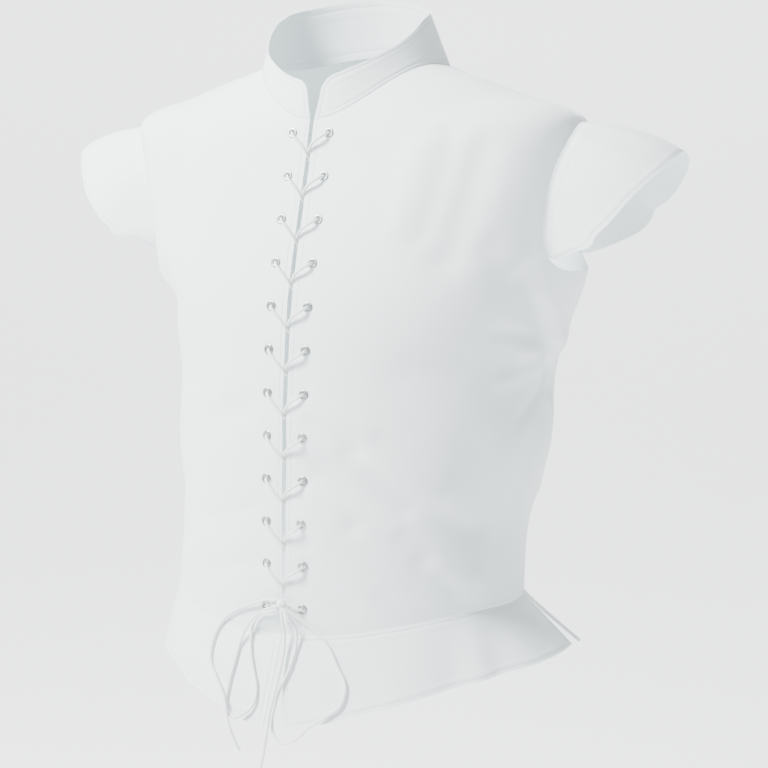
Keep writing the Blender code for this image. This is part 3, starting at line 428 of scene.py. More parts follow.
class Value:
    """A number worked out in a material's nodes, written as ordinary arithmetic."""

    def __init__(self, tree, socket):
        self.tree = tree
        self.socket = socket

    def maths(self, operation, first, second=0.0):
        return node(self.tree, "ShaderNodeMath", {"operation": operation}, {0: first, 1: second})

    def __add__(self, other):
        return self.maths("ADD", self, other)

    def __radd__(self, other):
        return self.maths("ADD", other, self)

    def __sub__(self, other):
        return self.maths("SUBTRACT", self, other)

    def __rsub__(self, other):
        return self.maths("SUBTRACT", other, self)

    def __mul__(self, other):
        return self.maths("MULTIPLY", self, other)

    def __rmul__(self, other):
        return self.maths("MULTIPLY", other, self)

    def __truediv__(self, other):
        return self.maths("DIVIDE", self, other)

    def __rtruediv__(self, other):
        return self.maths("DIVIDE", other, self)

    def __pow__(self, other):
        return self.maths("POWER", self, other)

    def __neg__(self):
        return self.maths("MULTIPLY", self, -1.0)

    def sine(self):
        return self.maths("SINE", self)

    def size(self):
        return self.maths("ABSOLUTE", self)

    def exponential(self):
        return self.maths("EXPONENT", self)


def node(tree, kind, settings, values, output=0):
    """A node of any kind: its settings are made first, then its values and links."""
    made = tree.nodes.new(kind)
    for key, setting in settings.items():
        setattr(made, key, setting)
    for key, value in values.items():
        if isinstance(value, Value):
            tree.links.new(value.socket, made.inputs[key])
        else:
            made.inputs[key].default_value = value
    return Value(tree, made.outputs[output])


def material(name, **constants):
    """A new material, its node tree and its Principled BSDF with the constants set."""
    made = bpy.data.materials.new(name)
    made.use_nodes = True
    shader = made.node_tree.nodes["Principled BSDF"]
    for key, constant in constants.items():
        shader.inputs[key.replace("_", " ")].default_value = constant
    return made, made.node_tree, shader


def plug(tree, value, shader, name):
    """Links a worked out value to an input of the shader."""
    tree.links.new(value.socket, shader.inputs[name])


def bump(tree, height, strength, distance):
    """A normal from a height."""
    values = {"Height": height, "Strength": strength, "Distance": distance}
    return node(tree, "ShaderNodeBump", {}, values)


def mixed(tree, factor, first, second):
    """One colour turning into another."""
    settings = {"data_type": "RGBA"}
    values = {0: factor, 6: (*first, 1.0), 7: (*second, 1.0)}
    return node(tree, "ShaderNodeMix", settings, values, 2)


TWILL_PITCH = 0.0011
HEM_STITCH = 0.0040
HEM_DEPTH = 0.0095


def twill(name, colour, hemmed):
    """White cotton twill with a soft sheen; a hemmed piece has a turned and stitched edge, with painted shade
    along its stitch groove.
    """
    made, tree, shader = material(
        name,
        Sheen_Weight=0.35,
        Sheen_Roughness=0.35,
        Specular_IOR_Level=0.35,
    )
    place = node(tree, "ShaderNodeUVMap", {"uv_map": "cut"}, {})
    split = tree.nodes.new("ShaderNodeSeparateXYZ")
    tree.links.new(place.socket, split.inputs[0])
    across, along = Value(tree, split.outputs[0]), Value(tree, split.outputs[1])
    wander = node(tree, "ShaderNodeTexNoise", {}, {"Vector": place, "Scale": 90.0, "Detail": 3.0})
    clouds = node(tree, "ShaderNodeTexNoise", {}, {"Vector": place, "Scale": 9.0, "Detail": 4.0})
    slub = node(tree, "ShaderNodeTexNoise", {}, {"Vector": place, "Scale": 900.0, "Detail": 2.0})
    soft = node(tree, "ShaderNodeTexNoise", {}, {"Vector": place, "Scale": 38.0, "Detail": 2.0})
    lines = ((across + along + wander * 0.0006) * (2 * pi / TWILL_PITCH)).sine()
    threads = (across * (2 * pi / (TWILL_PITCH * 0.55))).sine()
    edge = node(tree, "ShaderNodeAttribute", {"attribute_name": "edge"}, {}, 2)
    from_stitch = (edge - HEM_STITCH) / 0.0011
    groove = (-(from_stitch * from_stitch)).exponential()
    near = (-(edge / 0.011)).exponential()
    pucker = (soft - 0.5) * near
    height = lines * 0.030 + threads * 0.012 + slub * 0.05 + (soft - 0.5) * 0.30 + pucker * 1.1
    if hemmed:
        turned = node(
            tree,
            "ShaderNodeMapRange",
            {"interpolation_type": "SMOOTHSTEP"},
            {"Value": edge, "From Min": HEM_DEPTH - 0.0012, "From Max": HEM_DEPTH + 0.0012, "To Min": 1.0, "To Max": 0.0},
        )
        height = height + turned * 0.55 - groove * 0.9
    plug(tree, bump(tree, height, 0.55, 0.0006), shader, "Normal")
    darker = tuple(c * f for c, f in zip(colour, (0.955, 0.968, 0.975)))
    # Colour: random cloud and slub tone and the twill lines; on a hemmed piece, painted shade also darkens the
    # stitch groove.
    shade = clouds * 0.55 + slub * 0.25 + lines * 0.04 + groove * (0.25 if hemmed else 0.0)
    plug(tree, mixed(tree, shade, colour, darker), shader, "Base Color")
    plug(tree, 0.56 + clouds * 0.12 + lines * 0.03, shader, "Roughness")
    return made


THREAD_COLOUR = (0.80, 0.86, 0.87)
STITCH = 0.0026
STITCH_PITCH = 0.0034
STITCH_RADIUS = 0.00026


def thread_look():
    """White sewing thread, twisted."""
    made, tree, shader = material("white_thread", Sheen_Weight=0.3, Specular_IOR_Level=0.4)
    place = node(tree, "ShaderNodeTexCoord", {}, {}, 3)
    twist = node(tree, "ShaderNodeTexNoise", {}, {"Vector": place, "Scale": 2600.0, "Detail": 2.0})
    plug(tree, bump(tree, twist, 0.5, 0.0002), shader, "Normal")
    darker = tuple(c * 0.9 for c in THREAD_COLOUR)
    plug(tree, mixed(tree, twist, THREAD_COLOUR, darker), shader, "Base Color")
    plug(tree, 0.45 + twist * 0.2, shader, "Roughness")
    return made


thread = thread_look()


def stitches(name, lines):
    """Rows of short raised stitches along lines of points with their normals."""
    along = np.array([-0.5, -0.34, 0.34, 0.5]) * STITCH
    thick = np.array([0.45, 1.0, 1.0, 0.45]) * STITCH_RADIUS
    angles = np.arange(5) * 2 * pi / 5
    points, faces = [], []
    for line, normals in lines:
        length = np.concatenate([[0], np.cumsum(np.linalg.norm(np.diff(line, axis=0), axis=1))])
        middle = np.arange(STITCH_PITCH / 2, length[-1], STITCH_PITCH)
        at = np.stack([np.interp(middle, length, axis) for axis in line.T], -1)
        on = np.stack([np.interp(middle + 0.0004, length, axis) for axis in line.T], -1)
        normal = unit(np.stack([np.interp(middle, length, axis) for axis in normals.T], -1))
        run = unit(on - at + 1e-9)
        beside = np.cross(normal, run)
        for centre, way, up, side in zip(at, run, normal, beside):
            start = len(points)
            for step, size in zip(along, thick):
                for angle in angles:
                    offset = side * cos(angle) * size + up * (sin(angle) + 0.35) * size
                    points.append(centre + way * step + offset)
            for ring in range(3):
                for k in range(5):
                    a, b = start + ring * 5 + k, start + ring * 5 + (k + 1) % 5
                    faces.append((a, b, b + 5, a + 5))
            faces.append(tuple(start + k for k in range(4, -1, -1)))
            faces.append(tuple(start + 15 + k for k in range(5)))
    mesh = bpy.data.meshes.new(name)
    mesh.from_pydata([tuple(p) for p in points], [], faces)
    mesh.shade_smooth()
    return linked(name, mesh, thread)


def line_on(surface, first, second, facing=1):
    """Points and normals of a stitched line on a surface."""
    first, second = np.broadcast_arrays(np.asarray(first, float), np.asarray(second, float))
    normal = outward(surface, first, second) * facing
    return surface(first, second), normal


def body_run(flat, around, up, other=None):
    """Spots of the body at the angles and heights given."""
    around, up = np.broadcast_arrays(np.asarray(around, float), np.asarray(up, float))
    return spots(body, flat, around, up, 1, other)


def armhole_turns(side, start, end):
    """Places round one armhole, the same for every piece that is sewn along them."""
    def path(turn):
        around, up = armhole(turn)
        return side * around, up
    return spaced(body, path, start, end, CLOTH_STEP)


def centre_angle(up):
    """The angle of the front edge, half the front gap from the middle."""
    ring = Ring(*np.moveaxis(through(BODY, up), -1, 0))
    return FRONT_GAP / 2 / ring.half_width


def up_at(around, start, end):
    """Heights along a seam that runs up at one angle, the same for both pieces sewn there."""
    return spaced(body, lambda up: (np.full(np.shape(up), around), up), start, end, CLOTH_STEP)


def round_at(up, start, end):
    """Angles round the body at one height, the same for every piece sewn there."""
    def path(around):
        return around, np.full(np.shape(around), up)
    return spaced(body, path, start, end, CLOTH_STEP)


def body_at(x, z):
    """Angle and height of the point of the fronts at the given x and z."""
    ups = np.linspace(0, NECK_UP, 300)
    around = x / USUAL_HALF_WIDTH
    for _ in range(5):
        points = body(np.full(ups.shape, around), ups)
        up = np.interp(z, points[:, 2], ups)
        reached = np.interp(z, points[:, 2], points[:, 0])
        around += (x - reached) / USUAL_HALF_WIDTH
    return around, up


def eyelet_places(side):
    """Angle and height on the body of each eyelet of one front, from the top one down."""
    x = side * (EYELET_IN + FRONT_GAP / 2)
    return [body_at(x, EYELET_TOP - i * EYELET_PITCH) for i in range(EYELETS)]


LADDER = {LEFT: eyelet_places(LEFT), RIGHT: eyelet_places(RIGHT)}


def tangent_frame(place):
    """The point of the body at a place, its normal, and the level and rising directions."""
    around, up = place
    normal = outward(body, np.array([around]), np.array([up]))[0]
    level = unit(np.cross(np.array([0, 0, 1.0]), normal))
    return body(around, up), normal, level, np.cross(normal, level)


def ring_spots(place, radius, sides):
    """Spots round an eyelet, on the flat of the cloth at its middle."""
    middle, normal, level, rise = tangent_frame(place)
    angles = np.arange(sides) * 2 * pi / sides
    circle = radius * np.stack([np.cos(angles), np.sin(angles)], -1)
    around, up = place
    small = 1e-4
    base = flat_front(np.array(around), np.array(up))
    moves = ((around + small, up), (around, up + small))
    ways = np.array([body(*move) - middle for move in moves])
    flats = np.array([flat_front(np.array(a), np.array(b)) - base for a, b in moves])
    to_flat = np.linalg.solve(np.stack([ways @ level, ways @ rise], -1), flats)
    outer = middle + circle @ np.stack([level, rise])
    return Spots(outer, np.tile(-CLOTH * normal, (sides, 1)), base + circle @ to_flat)


# The sleeves' and the collar's surfaces, which the fronts are mitred to
Hem = namedtuple("Hem", "turn aside behind above")
LEFT_HEM = (
    Hem(-42, 0.0050, 0.0005, -0.0030),
    Hem(-30, 0.0165, -0.0010, -0.0080),
    Hem(-15, 0.0320, -0.0035, -0.0160),
    Hem(0, 0.0475, -0.0040, -0.0315),
    Hem(25, 0.0735, 0.0000, -0.0260),
    Hem(60, 0.0870, 0.0110, -0.0270),
    Hem(90, 0.0870, 0.0200, -0.0260),
    Hem(120, 0.0885, 0.0130, -0.0280),
    Hem(155, 0.0870, 0.0060, -0.0300),
    Hem(190, 0.0650, 0.0090, -0.0060),
    Hem(222, 0.0080, 0.0005, 0.0005),
)
RIGHT_HEM = (
    Hem(-42, 0.0050, 0.0005, -0.0020),
    Hem(-30, 0.0145, -0.0010, -0.0030),
    Hem(-15, 0.0320, -0.0030, -0.0110),
    Hem(0, 0.0460, -0.0035, -0.0310),
    Hem(25, 0.0640, 0.0000, -0.0390),
    Hem(60, 0.0790, 0.0110, -0.0360),
    Hem(90, 0.0930, 0.0185, -0.0230),
    Hem(120, 0.0950, 0.0120, -0.0260),
    Hem(155, 0.0920, 0.0060, -0.0350),
    Hem(190, 0.0680, 0.0090, -0.0130),
    Hem(222, 0.0080, 0.0005, 0.0005),
)
FRONT_NOTCH = LEFT_HEM[0].turn
BACK_NOTCH = LEFT_HEM[-1].turn
SLEEVE_PUFF = 0.010

# Soft folds of the sleeves: degrees round the armhole, the width in degrees and the height,
# which grows from nothing at the hem to the whole at the seam
Ripple = namedtuple("Ripple", "turn width height")
LEFT_RIPPLES = (
    Ripple(72, 5, 0.0020),
    Ripple(60, 4, -0.0022),
    Ripple(50, 5, 0.0014),
    Ripple(104, 6, -0.0018),
    Ripple(128, 7, 0.0016),
    Ripple(150, 6, -0.0014),
    Ripple(24, 7, -0.0012),
)
RIGHT_RIPPLES = (
    Ripple(46, 6, -0.0026),
    Ripple(58, 5, 0.0018),
    Ripple(34, 6, 0.0014),
    Ripple(98, 7, -0.0016),
    Ripple(120, 6, 0.0018),
    Ripple(142, 7, -0.0012),
)


def sleeve(side, hems, ripples):
    """The surface of one cap sleeve: degrees round the armhole, then out from seam to hem."""
    def surface(turn, out):
        turn, out = np.broadcast_arrays(np.asarray(turn, float), np.asarray(out, float))
        around, up = armhole(turn)
        seam = body(side * around, up)
        reach = through(hems, turn)[..., 1:] * np.array([side, 1, 1])
        over = outward(body, side * around, up)
        crown = np.sin(np.radians(turn).clip(0, pi))
        raised = SLEEVE_PUFF * 4 * out * (1 - out) * crown
        for ripple in ripples:
            swell = np.exp(-((turn - ripple.turn) / ripple.width) ** 2)
            raised = raised + ripple.height * swell * np.minimum(out * 9, 1) * (1 - 0.75 * out)
        return seam + reach * out[..., None] + over * raised[..., None]
    return surface


SLEEVES = {
    LEFT: sleeve(LEFT, LEFT_HEM, LEFT_RIPPLES),
    RIGHT: sleeve(RIGHT, RIGHT_HEM, RIGHT_RIPPLES),
}


def sleeve_facing(side):
    """1 or -1, so that the sleeve's two directions give its outer side."""
    crown = outward(SLEEVES[side], np.array([90.0]), np.array([0.3]))[0]
    return 1 if crown[2] > 0 else -1


def armhole_run(side, flat, start, end, sewn):
    """Spots of the body along the armhole, mitred to the sleeve where one is sewn on."""
    turns = armhole_turns(side, start, end)
    around, up = armhole(turns)
    other = None
    if sewn:
        cap = outward(SLEEVES[side], turns, np.full(turns.shape, 0.02))
        other = cap * sleeve_facing(side)
    return body_run(flat, side * around, up, other)


Stand = namedtuple("Stand", "around rise lean")
COLLAR = (
    Stand(-180, 0.0530, 0.006),
    Stand(-135, 0.0560, 0.006),
    Stand(-105, 0.0530, 0.005),
    Stand(-85, 0.0445, 0.005),
    Stand(-70, 0.0330, 0.005),
    Stand(-52, 0.0240, 0.004),
    Stand(-35, 0.0275, 0.004),
    Stand(-18, 0.0320, 0.004),
    Stand(0, 0.0360, 0.004),
    Stand(18, 0.0365, 0.005),
    Stand(35, 0.0310, 0.007),
    Stand(50, 0.0270, 0.009),
    Stand(65, 0.0310, 0.012),
    Stand(80, 0.0420, 0.016),
    Stand(95, 0.0480, 0.019),
    Stand(116, 0.0485, 0.019),
    Stand(145, 0.0500, 0.013),
    Stand(180, 0.0530, 0.006),
)


def collar(around, rise):
    """The stand collar: around as on the body, rise from the neck seam to the top edge."""
    around, rise = np.broadcast_arrays(np.asarray(around, float), np.asarray(rise, float))
    foot = body(around, np.full(around.shape, NECK_UP))
    wrapped = np.arctan2(np.sin(around), np.cos(around))
    stand = through(COLLAR, np.degrees(wrapped))
    inward = np.stack([-np.sin(around), np.cos(around), np.zeros(around.shape)], -1)
    lift = inward * stand[..., 2:3] + np.array([0, 0, 1]) * stand[..., 1:2]
    return foot + lift * rise[..., None]


Flare = namedtuple("Flare", "around flare drop")
SKIRT = (
    Flare(-180, 0.026, 0.056),
    Flare(-135, 0.024, 0.056),
    Flare(-90, 0.020, 0.063),
    Flare(-55, 0.013, 0.067),
    Flare(-25, 0.018, 0.072),
    Flare(0, 0.021, 0.083),
    Flare(25, 0.022, 0.070),
    Flare(55, 0.026, 0.058),
    Flare(95, 0.046, 0.044),
    Flare(135, 0.034, 0.052),
    Flare(180, 0.026, 0.056),
)

# Soft upright waves of the skirt: degrees round, the width in degrees and the height at the hem
Wave = namedtuple("Wave", "around width height")
WAVES = (
    Wave(52, 5, -0.0024),
    Wave(61, 4, 0.0022),
    Wave(68, 4, -0.0020),
    Wave(78, 5, 0.0018),
    Wave(36, 6, 0.0012),
    Wave(-48, 6, -0.0020),
    Wave(-62, 5, 0.0008),
    Wave(-84, 6, -0.0006),
    Wave(110, 6, 0.0110),
    Wave(128, 7, -0.0026),
    Wave(146, 6, 0.0024),
    Wave(166, 7, -0.0020),
    Wave(-128, 7, 0.0024),
    Wave(-150, 6, -0.0026),
    Wave(-168, 6, 0.0018),
)


def skirt(around, drop):
    """The skirt below the waist seam: drop from the seam to the hem."""
    around, drop = np.broadcast_arrays(np.asarray(around, float), np.asarray(drop, float))
    waist = body(around, np.zeros(around.shape))
    wrapped = np.degrees(np.arctan2(np.sin(around), np.cos(around)))
    hem = through(SKIRT, wrapped)
    flare = hem[..., 1]
    for wave in WAVES:
        flare = flare + wave.height * np.exp(-((wrapped - wave.around) / wave.width) ** 2)
    out = outward(smooth_body, around, np.zeros(around.shape)) * np.array([1, 1, 0])
    fall = unit(out) * flare[..., None] - np.array([0, 0, 1]) * hem[..., 2:3]
    return waist + fall * drop[..., None]


def neck_normal(around):
    """The collar's normal along the neck seam."""
    return outward(collar, around, np.full(np.shape(around), 0.01))


def waist_normal(around):
    """The skirt's normal along the waist seam."""
    return -outward(skirt, around, np.full(np.shape(around), 0.01))


def neck_front(side):
    """Angles along one front's neck seam, from its centre edge to the shoulder."""
    return round_at(NECK_UP, side * centre_angle(np.array(NECK_UP)), side * QUARTER)


def waist_front(side):
    """Angles along one front's waist seam, from its centre edge to the side."""
    return round_at(0, side * centre_angle(np.array(0.0)), side * SIDE)


body_cloth = twill("white_twill_body", CLOTH_COLOUR, False)
hemmed_cloth = twill("white_twill_hemmed", CLOTH_COLOUR, True)
EDGE_STITCH_IN = 0.0045


def make_front(name, side):
    """One front, cut from the centre edge to the side seam, with its eyelet holes."""
    ups = spaced(body, lambda up: (np.full(up.shape, 0.02), up), 0, NECK_UP, CLOTH_STEP)
    centre = side * centre_angle(ups)
    waist = waist_front(side)
    neck = neck_front(side)[::-1]
    outline = joined(
        body_run(flat_front, waist, 0, waist_normal(waist)),
        body_run(flat_front, side * SIDE, up_at(side * SIDE, 0, SIDE_UP)),
        armhole_run(side, flat_front, SIDE_TURN - 360, FRONT_NOTCH, False),
        armhole_run(side, flat_front, FRONT_NOTCH, 90, True),
        body_run(flat_front, side * QUARTER, up_at(side * QUARTER, SHOULDER_UP, NECK_UP)),
        body_run(flat_front, neck, NECK_UP, neck_normal(neck)),
        body_run(flat_front, centre[::-1], ups[::-1]),
    )
    holes = [ring_spots(place, HOLE_RADIUS, HOLE_SIDES) for place in LADDER[side]]
    rings = [ring_spots(place, HOLE_RADIUS * 1.7, HOLE_SIDES) for place in LADDER[side]]
    rows = np.arange(CLOTH_STEP / 2, NECK_UP, CLOTH_STEP * 0.87)
    inner = filling(body, flat_front, 1, (0.0, side * SIDE), rows, outline, rings, CLOTH_STEP)
    made = panel(name, body_cloth, outline, holes, [*rings, inner])
    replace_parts(made, name)
    edge = np.linspace(0.004, NECK_UP - 0.004, 300)
    inset_angle = side * (centre_angle(edge) + EDGE_STITCH_IN / USUAL_HALF_WIDTH * 0.9)
    turns = np.linspace(FRONT_NOTCH, 90, 200)
    around, up = armhole(turns)
    beside = side * (around - radians(1.6))
    shoulder = np.linspace(SHOULDER_UP + 0.006, NECK_UP - 0.004, 80)
    lines = [
        line_on(body, inset_angle, edge),
        line_on(body, beside, up - 0.001),
        line_on(body, side * (QUARTER - radians(1.5)), shoulder),
    ]
    sewn = stitches("stitches_" + name, lines)


make_front("front_right", RIGHT)
make_front("front_left", LEFT)


def back_armhole(side):
    """The back's two runs of one armhole, from the side seam up to the shoulder."""
    runs = []
    for start, end, sewn in ((SIDE_TURN, BACK_NOTCH, False), (BACK_NOTCH, 90, True)):
        turns = armhole_turns(side, end, start)[::-1]
        around, up = armhole(turns)
        other = None
        if sewn:
            cap = outward(SLEEVES[side], turns, np.full(turns.shape, 0.02))
            other = cap * sleeve_facing(side)
        along = around if side == LEFT else 2 * pi - around
        runs.append(body_run(flat_back, along, up, other))
    return runs


def round_back(up, start):
    """Angles along the back at one height, from the left side to the right one."""
    left = round_at(up, start, 2 * QUARTER)
    right = round_at(up, 2 * QUARTER, 4 * QUARTER - start)
    return np.concatenate([left[:-1], right])


def make_back():
    """The back in one piece, from the left side seam round to the right one."""
    waist = round_back(0, SIDE)
    neck = round_back(NECK_UP, QUARTER)[::-1]
    right_side, right_ridge = 4 * QUARTER - SIDE, 3 * QUARTER
    left_runs = [Spots(*[values[::-1] for values in run]) for run in back_armhole(LEFT)[::-1]]
    outline = joined(
        body_run(flat_back, waist, 0, waist_normal(waist)),
        body_run(flat_back, right_side, up_at(-SIDE, 0, SIDE_UP)),
        *back_armhole(RIGHT),
        body_run(flat_back, right_ridge, up_at(-QUARTER, SHOULDER_UP, NECK_UP)),
        body_run(flat_back, neck, NECK_UP, neck_normal(neck)),
        body_run(flat_back, QUARTER, up_at(QUARTER, SHOULDER_UP, NECK_UP)[::-1]),
        *left_runs,
        body_run(flat_back, SIDE, up_at(SIDE, 0, SIDE_UP)[::-1]),
    )
    rows = np.arange(CLOTH_STEP / 2, NECK_UP, CLOTH_STEP * 0.87)
    inner = filling(body, flat_back, 1, (QUARTER, 3 * QUARTER), rows, outline, [], CLOTH_STEP)
    made = panel("back", body_cloth, outline, [], [inner])
    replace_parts(made, "back")
    turns = np.linspace(90, BACK_NOTCH, 200)
    around, up = armhole(turns)
    lines = [line_on(body, side * (around + radians(1.4)), up - 0.001) for side in (LEFT, RIGHT)]
    sewn = stitches("stitches_back", lines)


make_back()

# Collar
# A stand collar in one strip, its front corners rounded, topstitched all round its edge.
COLLAR_FRONT_RISE = 0.036
COLLAR_CORNER_OUT = 0.012
COLLAR_CORNER_DOWN = 0.015
COLLAR_EDGE_LEAN = 0.004
NECK_RADIUS = 0.083


def flat_collar(around, rise):
    """Where a point of the collar lies on the cut piece."""
    around, rise = np.broadcast_arrays(np.asarray(around, float), np.asarray(rise, float))
    return np.stack([NECK_RADIUS * around, COLLAR_FRONT_RISE * rise], -1)


def collar_edge(count):
    """One front edge of the collar, from the neck seam round the corner to the top."""
    start = centre_angle(np.array(NECK_UP))
    lean = COLLAR_EDGE_LEAN / NECK_RADIUS
    low = 1 - COLLAR_CORNER_DOWN / COLLAR_FRONT_RISE
    straight = np.linspace(0, 1, 5)[:-1]
    bend = np.radians(np.linspace(0, 90, count))
    across = COLLAR_CORNER_OUT / NECK_RADIUS * (1 - np.cos(bend))
    around = np.concatenate([start + lean * straight, start + lean + across])
    return around, np.concatenate([low * straight, low + (1 - low) * np.sin(bend)])


def make_collar():
    """The stand collar, in one piece from one front edge round the neck to the other."""
    ahead, across = neck_front(LEFT), neck_front(RIGHT)[::-1] + 2 * pi
    behind = round_back(NECK_UP, QUARTER)
    foot = np.concatenate([ahead[:-1], behind[:-1], across])
    around, rise = collar_edge(14)
    ending = 2 * pi - around
    top = spaced(collar, lambda a: (a, np.ones(a.shape)), around[-1], ending[-1], CLOTH_STEP)

    def run(a, r, other=None):
        a, r = np.broadcast_arrays(a, np.asarray(r, float))
        return spots(collar, flat_collar, a, r, 1, other)

    body_side = outward(body, foot, np.full(foot.shape, NECK_UP))
    outline = joined(
        run(foot, 0, body_side),
        run(ending, rise),
        run(top[::-1], 1),
        run(around[::-1], rise[::-1]),
    )
    rows = np.linspace(0.08, 0.94, 9)
    ends = (around[0], ending[0])
    inner = filling(collar, flat_collar, 1, ends, rows, outline, [], CLOTH_STEP * 0.8)
    made = panel("collar", hemmed_cloth, outline, [], [inner])
    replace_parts(made, "collar")
    edge = outline.flat
    inward = HEM_STITCH
    corner_a = around + inward / NECK_RADIUS * np.cos(np.linspace(0, pi / 2, len(around)))
    corner_r = rise - inward / COLLAR_FRONT_RISE * np.sin(np.linspace(0, pi / 2, len(around)))
    corner_r = np.clip(corner_r, 0.03, 1)
    span = np.linspace(corner_a[-1], 2 * pi - corner_a[-1], 300)
    ridge = np.full(span.shape, 1 - inward / 0.050)
    low = np.linspace(around[0] + 0.03, 2 * pi - around[0] - 0.03, 500)
    lines = [
        line_on(collar, corner_a, corner_r),
        line_on(collar, span, ridge),
        line_on(collar, 2 * pi - corner_a, corner_r),
        line_on(collar, low, np.full(low.shape, 0.05)),
    ]
    sewn = stitches("stitches_collar", lines)


make_collar()

# Cap sleeves
# Half-round caps of the same twill, sewn in from the front notch over the shoulder to the back
# notch, with a narrow stitched hem. The underarm is left open.
CAP_RADIUS = 0.068
CAP_DEPTH = 0.095
CAP_TAPER = 0.92
CAP_SPREAD = 0.2


def flat_sleeve(turn, out):
    """Where a point of a cap sleeve lies on the cut piece."""
    turn, out = np.broadcast_arrays(np.asarray(turn, float), np.asarray(out, float))
    middle = (FRONT_NOTCH + BACK_NOTCH) / 2
    reach = (turn - middle) / (BACK_NOTCH - middle)
    deep = CAP_DEPTH * (1 - CAP_TAPER * reach ** 2)
    radius = CAP_RADIUS + CAP_SPREAD * deep * out
    return np.stack([np.radians(turn - middle) * radius, deep * out], -1)


def make_sleeve(name, side):
    """One cap sleeve, from the front notch over the shoulder to the back notch."""
    surface, facing = SLEEVES[side], sleeve_facing(side)
    ahead = armhole_turns(side, FRONT_NOTCH, 90)
    seam = np.concatenate([ahead[:-1], armhole_turns(side, 90, BACK_NOTCH)])
    around, up = armhole(seam)
    body_side = outward(body, side * around, up)
    along_hem = spaced(
        surface, lambda t: (t, np.ones(t.shape)), FRONT_NOTCH, BACK_NOTCH, CLOTH_STEP)
    ends = np.linspace(0, 1, 3)

    def run(t, out, other=None):
        t, out = np.broadcast_arrays(np.asarray(t, float), np.asarray(out, float))
        return spots(surface, flat_sleeve, t, out, facing, other)

    outline = joined(
        run(seam, 0, body_side),
        run(BACK_NOTCH, ends),
        run(along_hem[::-1], 1),
        run(FRONT_NOTCH, ends[::-1]),
    )
    rows = np.linspace(0.05, 0.96, 18)
    turns = (FRONT_NOTCH, BACK_NOTCH)
    inner = filling(surface, flat_sleeve, facing, turns, rows, outline, [], CLOTH_STEP)
    made = panel(name, hemmed_cloth, outline, [], [inner])
    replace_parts(made, name)
    turn = np.linspace(FRONT_NOTCH + 6, BACK_NOTCH - 6, 400)
    deep = flat_sleeve(turn, np.ones(turn.shape))[:, 1]
    lines = [line_on(surface, turn, 1 - HEM_STITCH / deep, facing)]
    sewn = stitches("stitches_" + name, lines)


make_sleeve("sleeve_right", RIGHT)
make_sleeve("sleeve_left", LEFT)

# Skirt
# Three short pieces below the waist seam: one to each front and one to the back, open at the
# centre front and at both sides, with a narrow hem.
SKIRT_SPLIT = 0.0065
VENT_OPEN = radians(2.2)
WAIST_RADIUS = 0.150
SKIRT_SPREAD = 0.15
SKIRT_DEPTH = 0.07


def flat_skirt(around, drop):
    """Where a point of the skirt lies on the cut piece."""
    around, drop = np.broadcast_arrays(np.asarray(around, float), np.asarray(drop, float))
    return np.stack([WAIST_RADIUS * around * (1 + SKIRT_SPREAD * drop), -SKIRT_DEPTH * drop], -1)


def split_edge(side):
    """The centre edge of a front skirt piece, which leaves the middle towards the hem."""
    girth = BODY[0].half_width
    return lambda drop: side * (FRONT_GAP / 2 + SKIRT_SPLIT * drop) / girth


def vent_edge(angle, opening):
    """A side edge of a skirt piece, which leaves the side seam towards the hem."""
    return lambda drop: angle + opening * drop


def make_skirt(name, waist, start_edge, end_edge):
    """One skirt piece; its edges give the angle at a drop from the waist seam."""
    drops = np.linspace(0, 1, 13)
    starting, ending = start_edge(drops), end_edge(drops)

    def bottom(a):
        return a, np.ones(a.shape)

    hem = spaced(skirt, bottom, starting[-1], ending[-1], CLOTH_STEP)

    def run(a, d, other=None):
        a, d = np.broadcast_arrays(np.asarray(a, float), np.asarray(d, float))
        return spots(skirt, flat_skirt, a, d, -1, other)

    body_side = outward(body, waist, np.zeros(waist.shape))
    outline = joined(
        run(waist[::-1], 0, body_side[::-1]),
        run(starting, drops),
        run(hem, 1),
        run(ending[::-1], drops[::-1]),
    )
    rows = np.linspace(0.07, 0.95, 13)
    ends = (waist[0], waist[-1])
    inner = filling(skirt, flat_skirt, -1, ends, rows, outline, [], CLOTH_STEP)
    made = panel(name, hemmed_cloth, outline, [], [inner])
    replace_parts(made, name)
    drop = 1 - HEM_STITCH / SKIRT_DEPTH
    shift = HEM_STITCH / WAIST_RADIUS * np.sign(ending[-1] - starting[-1])
    low = np.linspace(starting[-1] + shift, ending[-1] - shift, 500)
    top = np.linspace(waist[0] + shift, waist[-1] - shift, 500)
    upright = np.linspace(0.06, drop, 60)
    lines = [
        line_on(skirt, low, np.full(low.shape, drop), -1),
        line_on(skirt, top, np.full(top.shape, 0.045), -1),
        line_on(skirt, start_edge(upright) + shift, upright, -1),
        line_on(skirt, end_edge(upright) - shift, upright, -1),
    ]
    sewn = stitches("stitches_" + name, lines)


for side, word in ((RIGHT, "right"), (LEFT, "left")):
    side_vent = vent_edge(side * SIDE, -side * VENT_OPEN)
    make_skirt(
        "skirt_front_" + word, waist_front(side), split_edge(side), side_vent)
make_skirt(
    "skirt_back", round_back(0, SIDE), vent_edge(SIDE, VENT_OPEN),
    vent_edge(4 * QUARTER - SIDE, -VENT_OPEN))

# Eyelets
# Two-part grey metal eyelets, 9 mm across, pressed through each front edge.
STEEL_COLOUR = (0.46, 0.49, 0.49)
EYELET_SIDES = 28
Turned = namedtuple("Turned", "radius height")
EYELET_PROFILE = (
    Turned(0.00240, -0.00180),
    Turned(0.00285, -0.00180),
    Turned(0.00290, -0.00140),
    Turned(0.00290, 0.00020),
    Turned(0.00460, 0.00020),
    Turned(0.00470, 0.00045),
    Turned(0.00445, 0.00078),
    Turned(0.00385, 0.00092),
    Turned(0.00310, 0.00090),
    Turned(0.00262, 0.00068),
    Turned(0.00240, 0.00030),
)


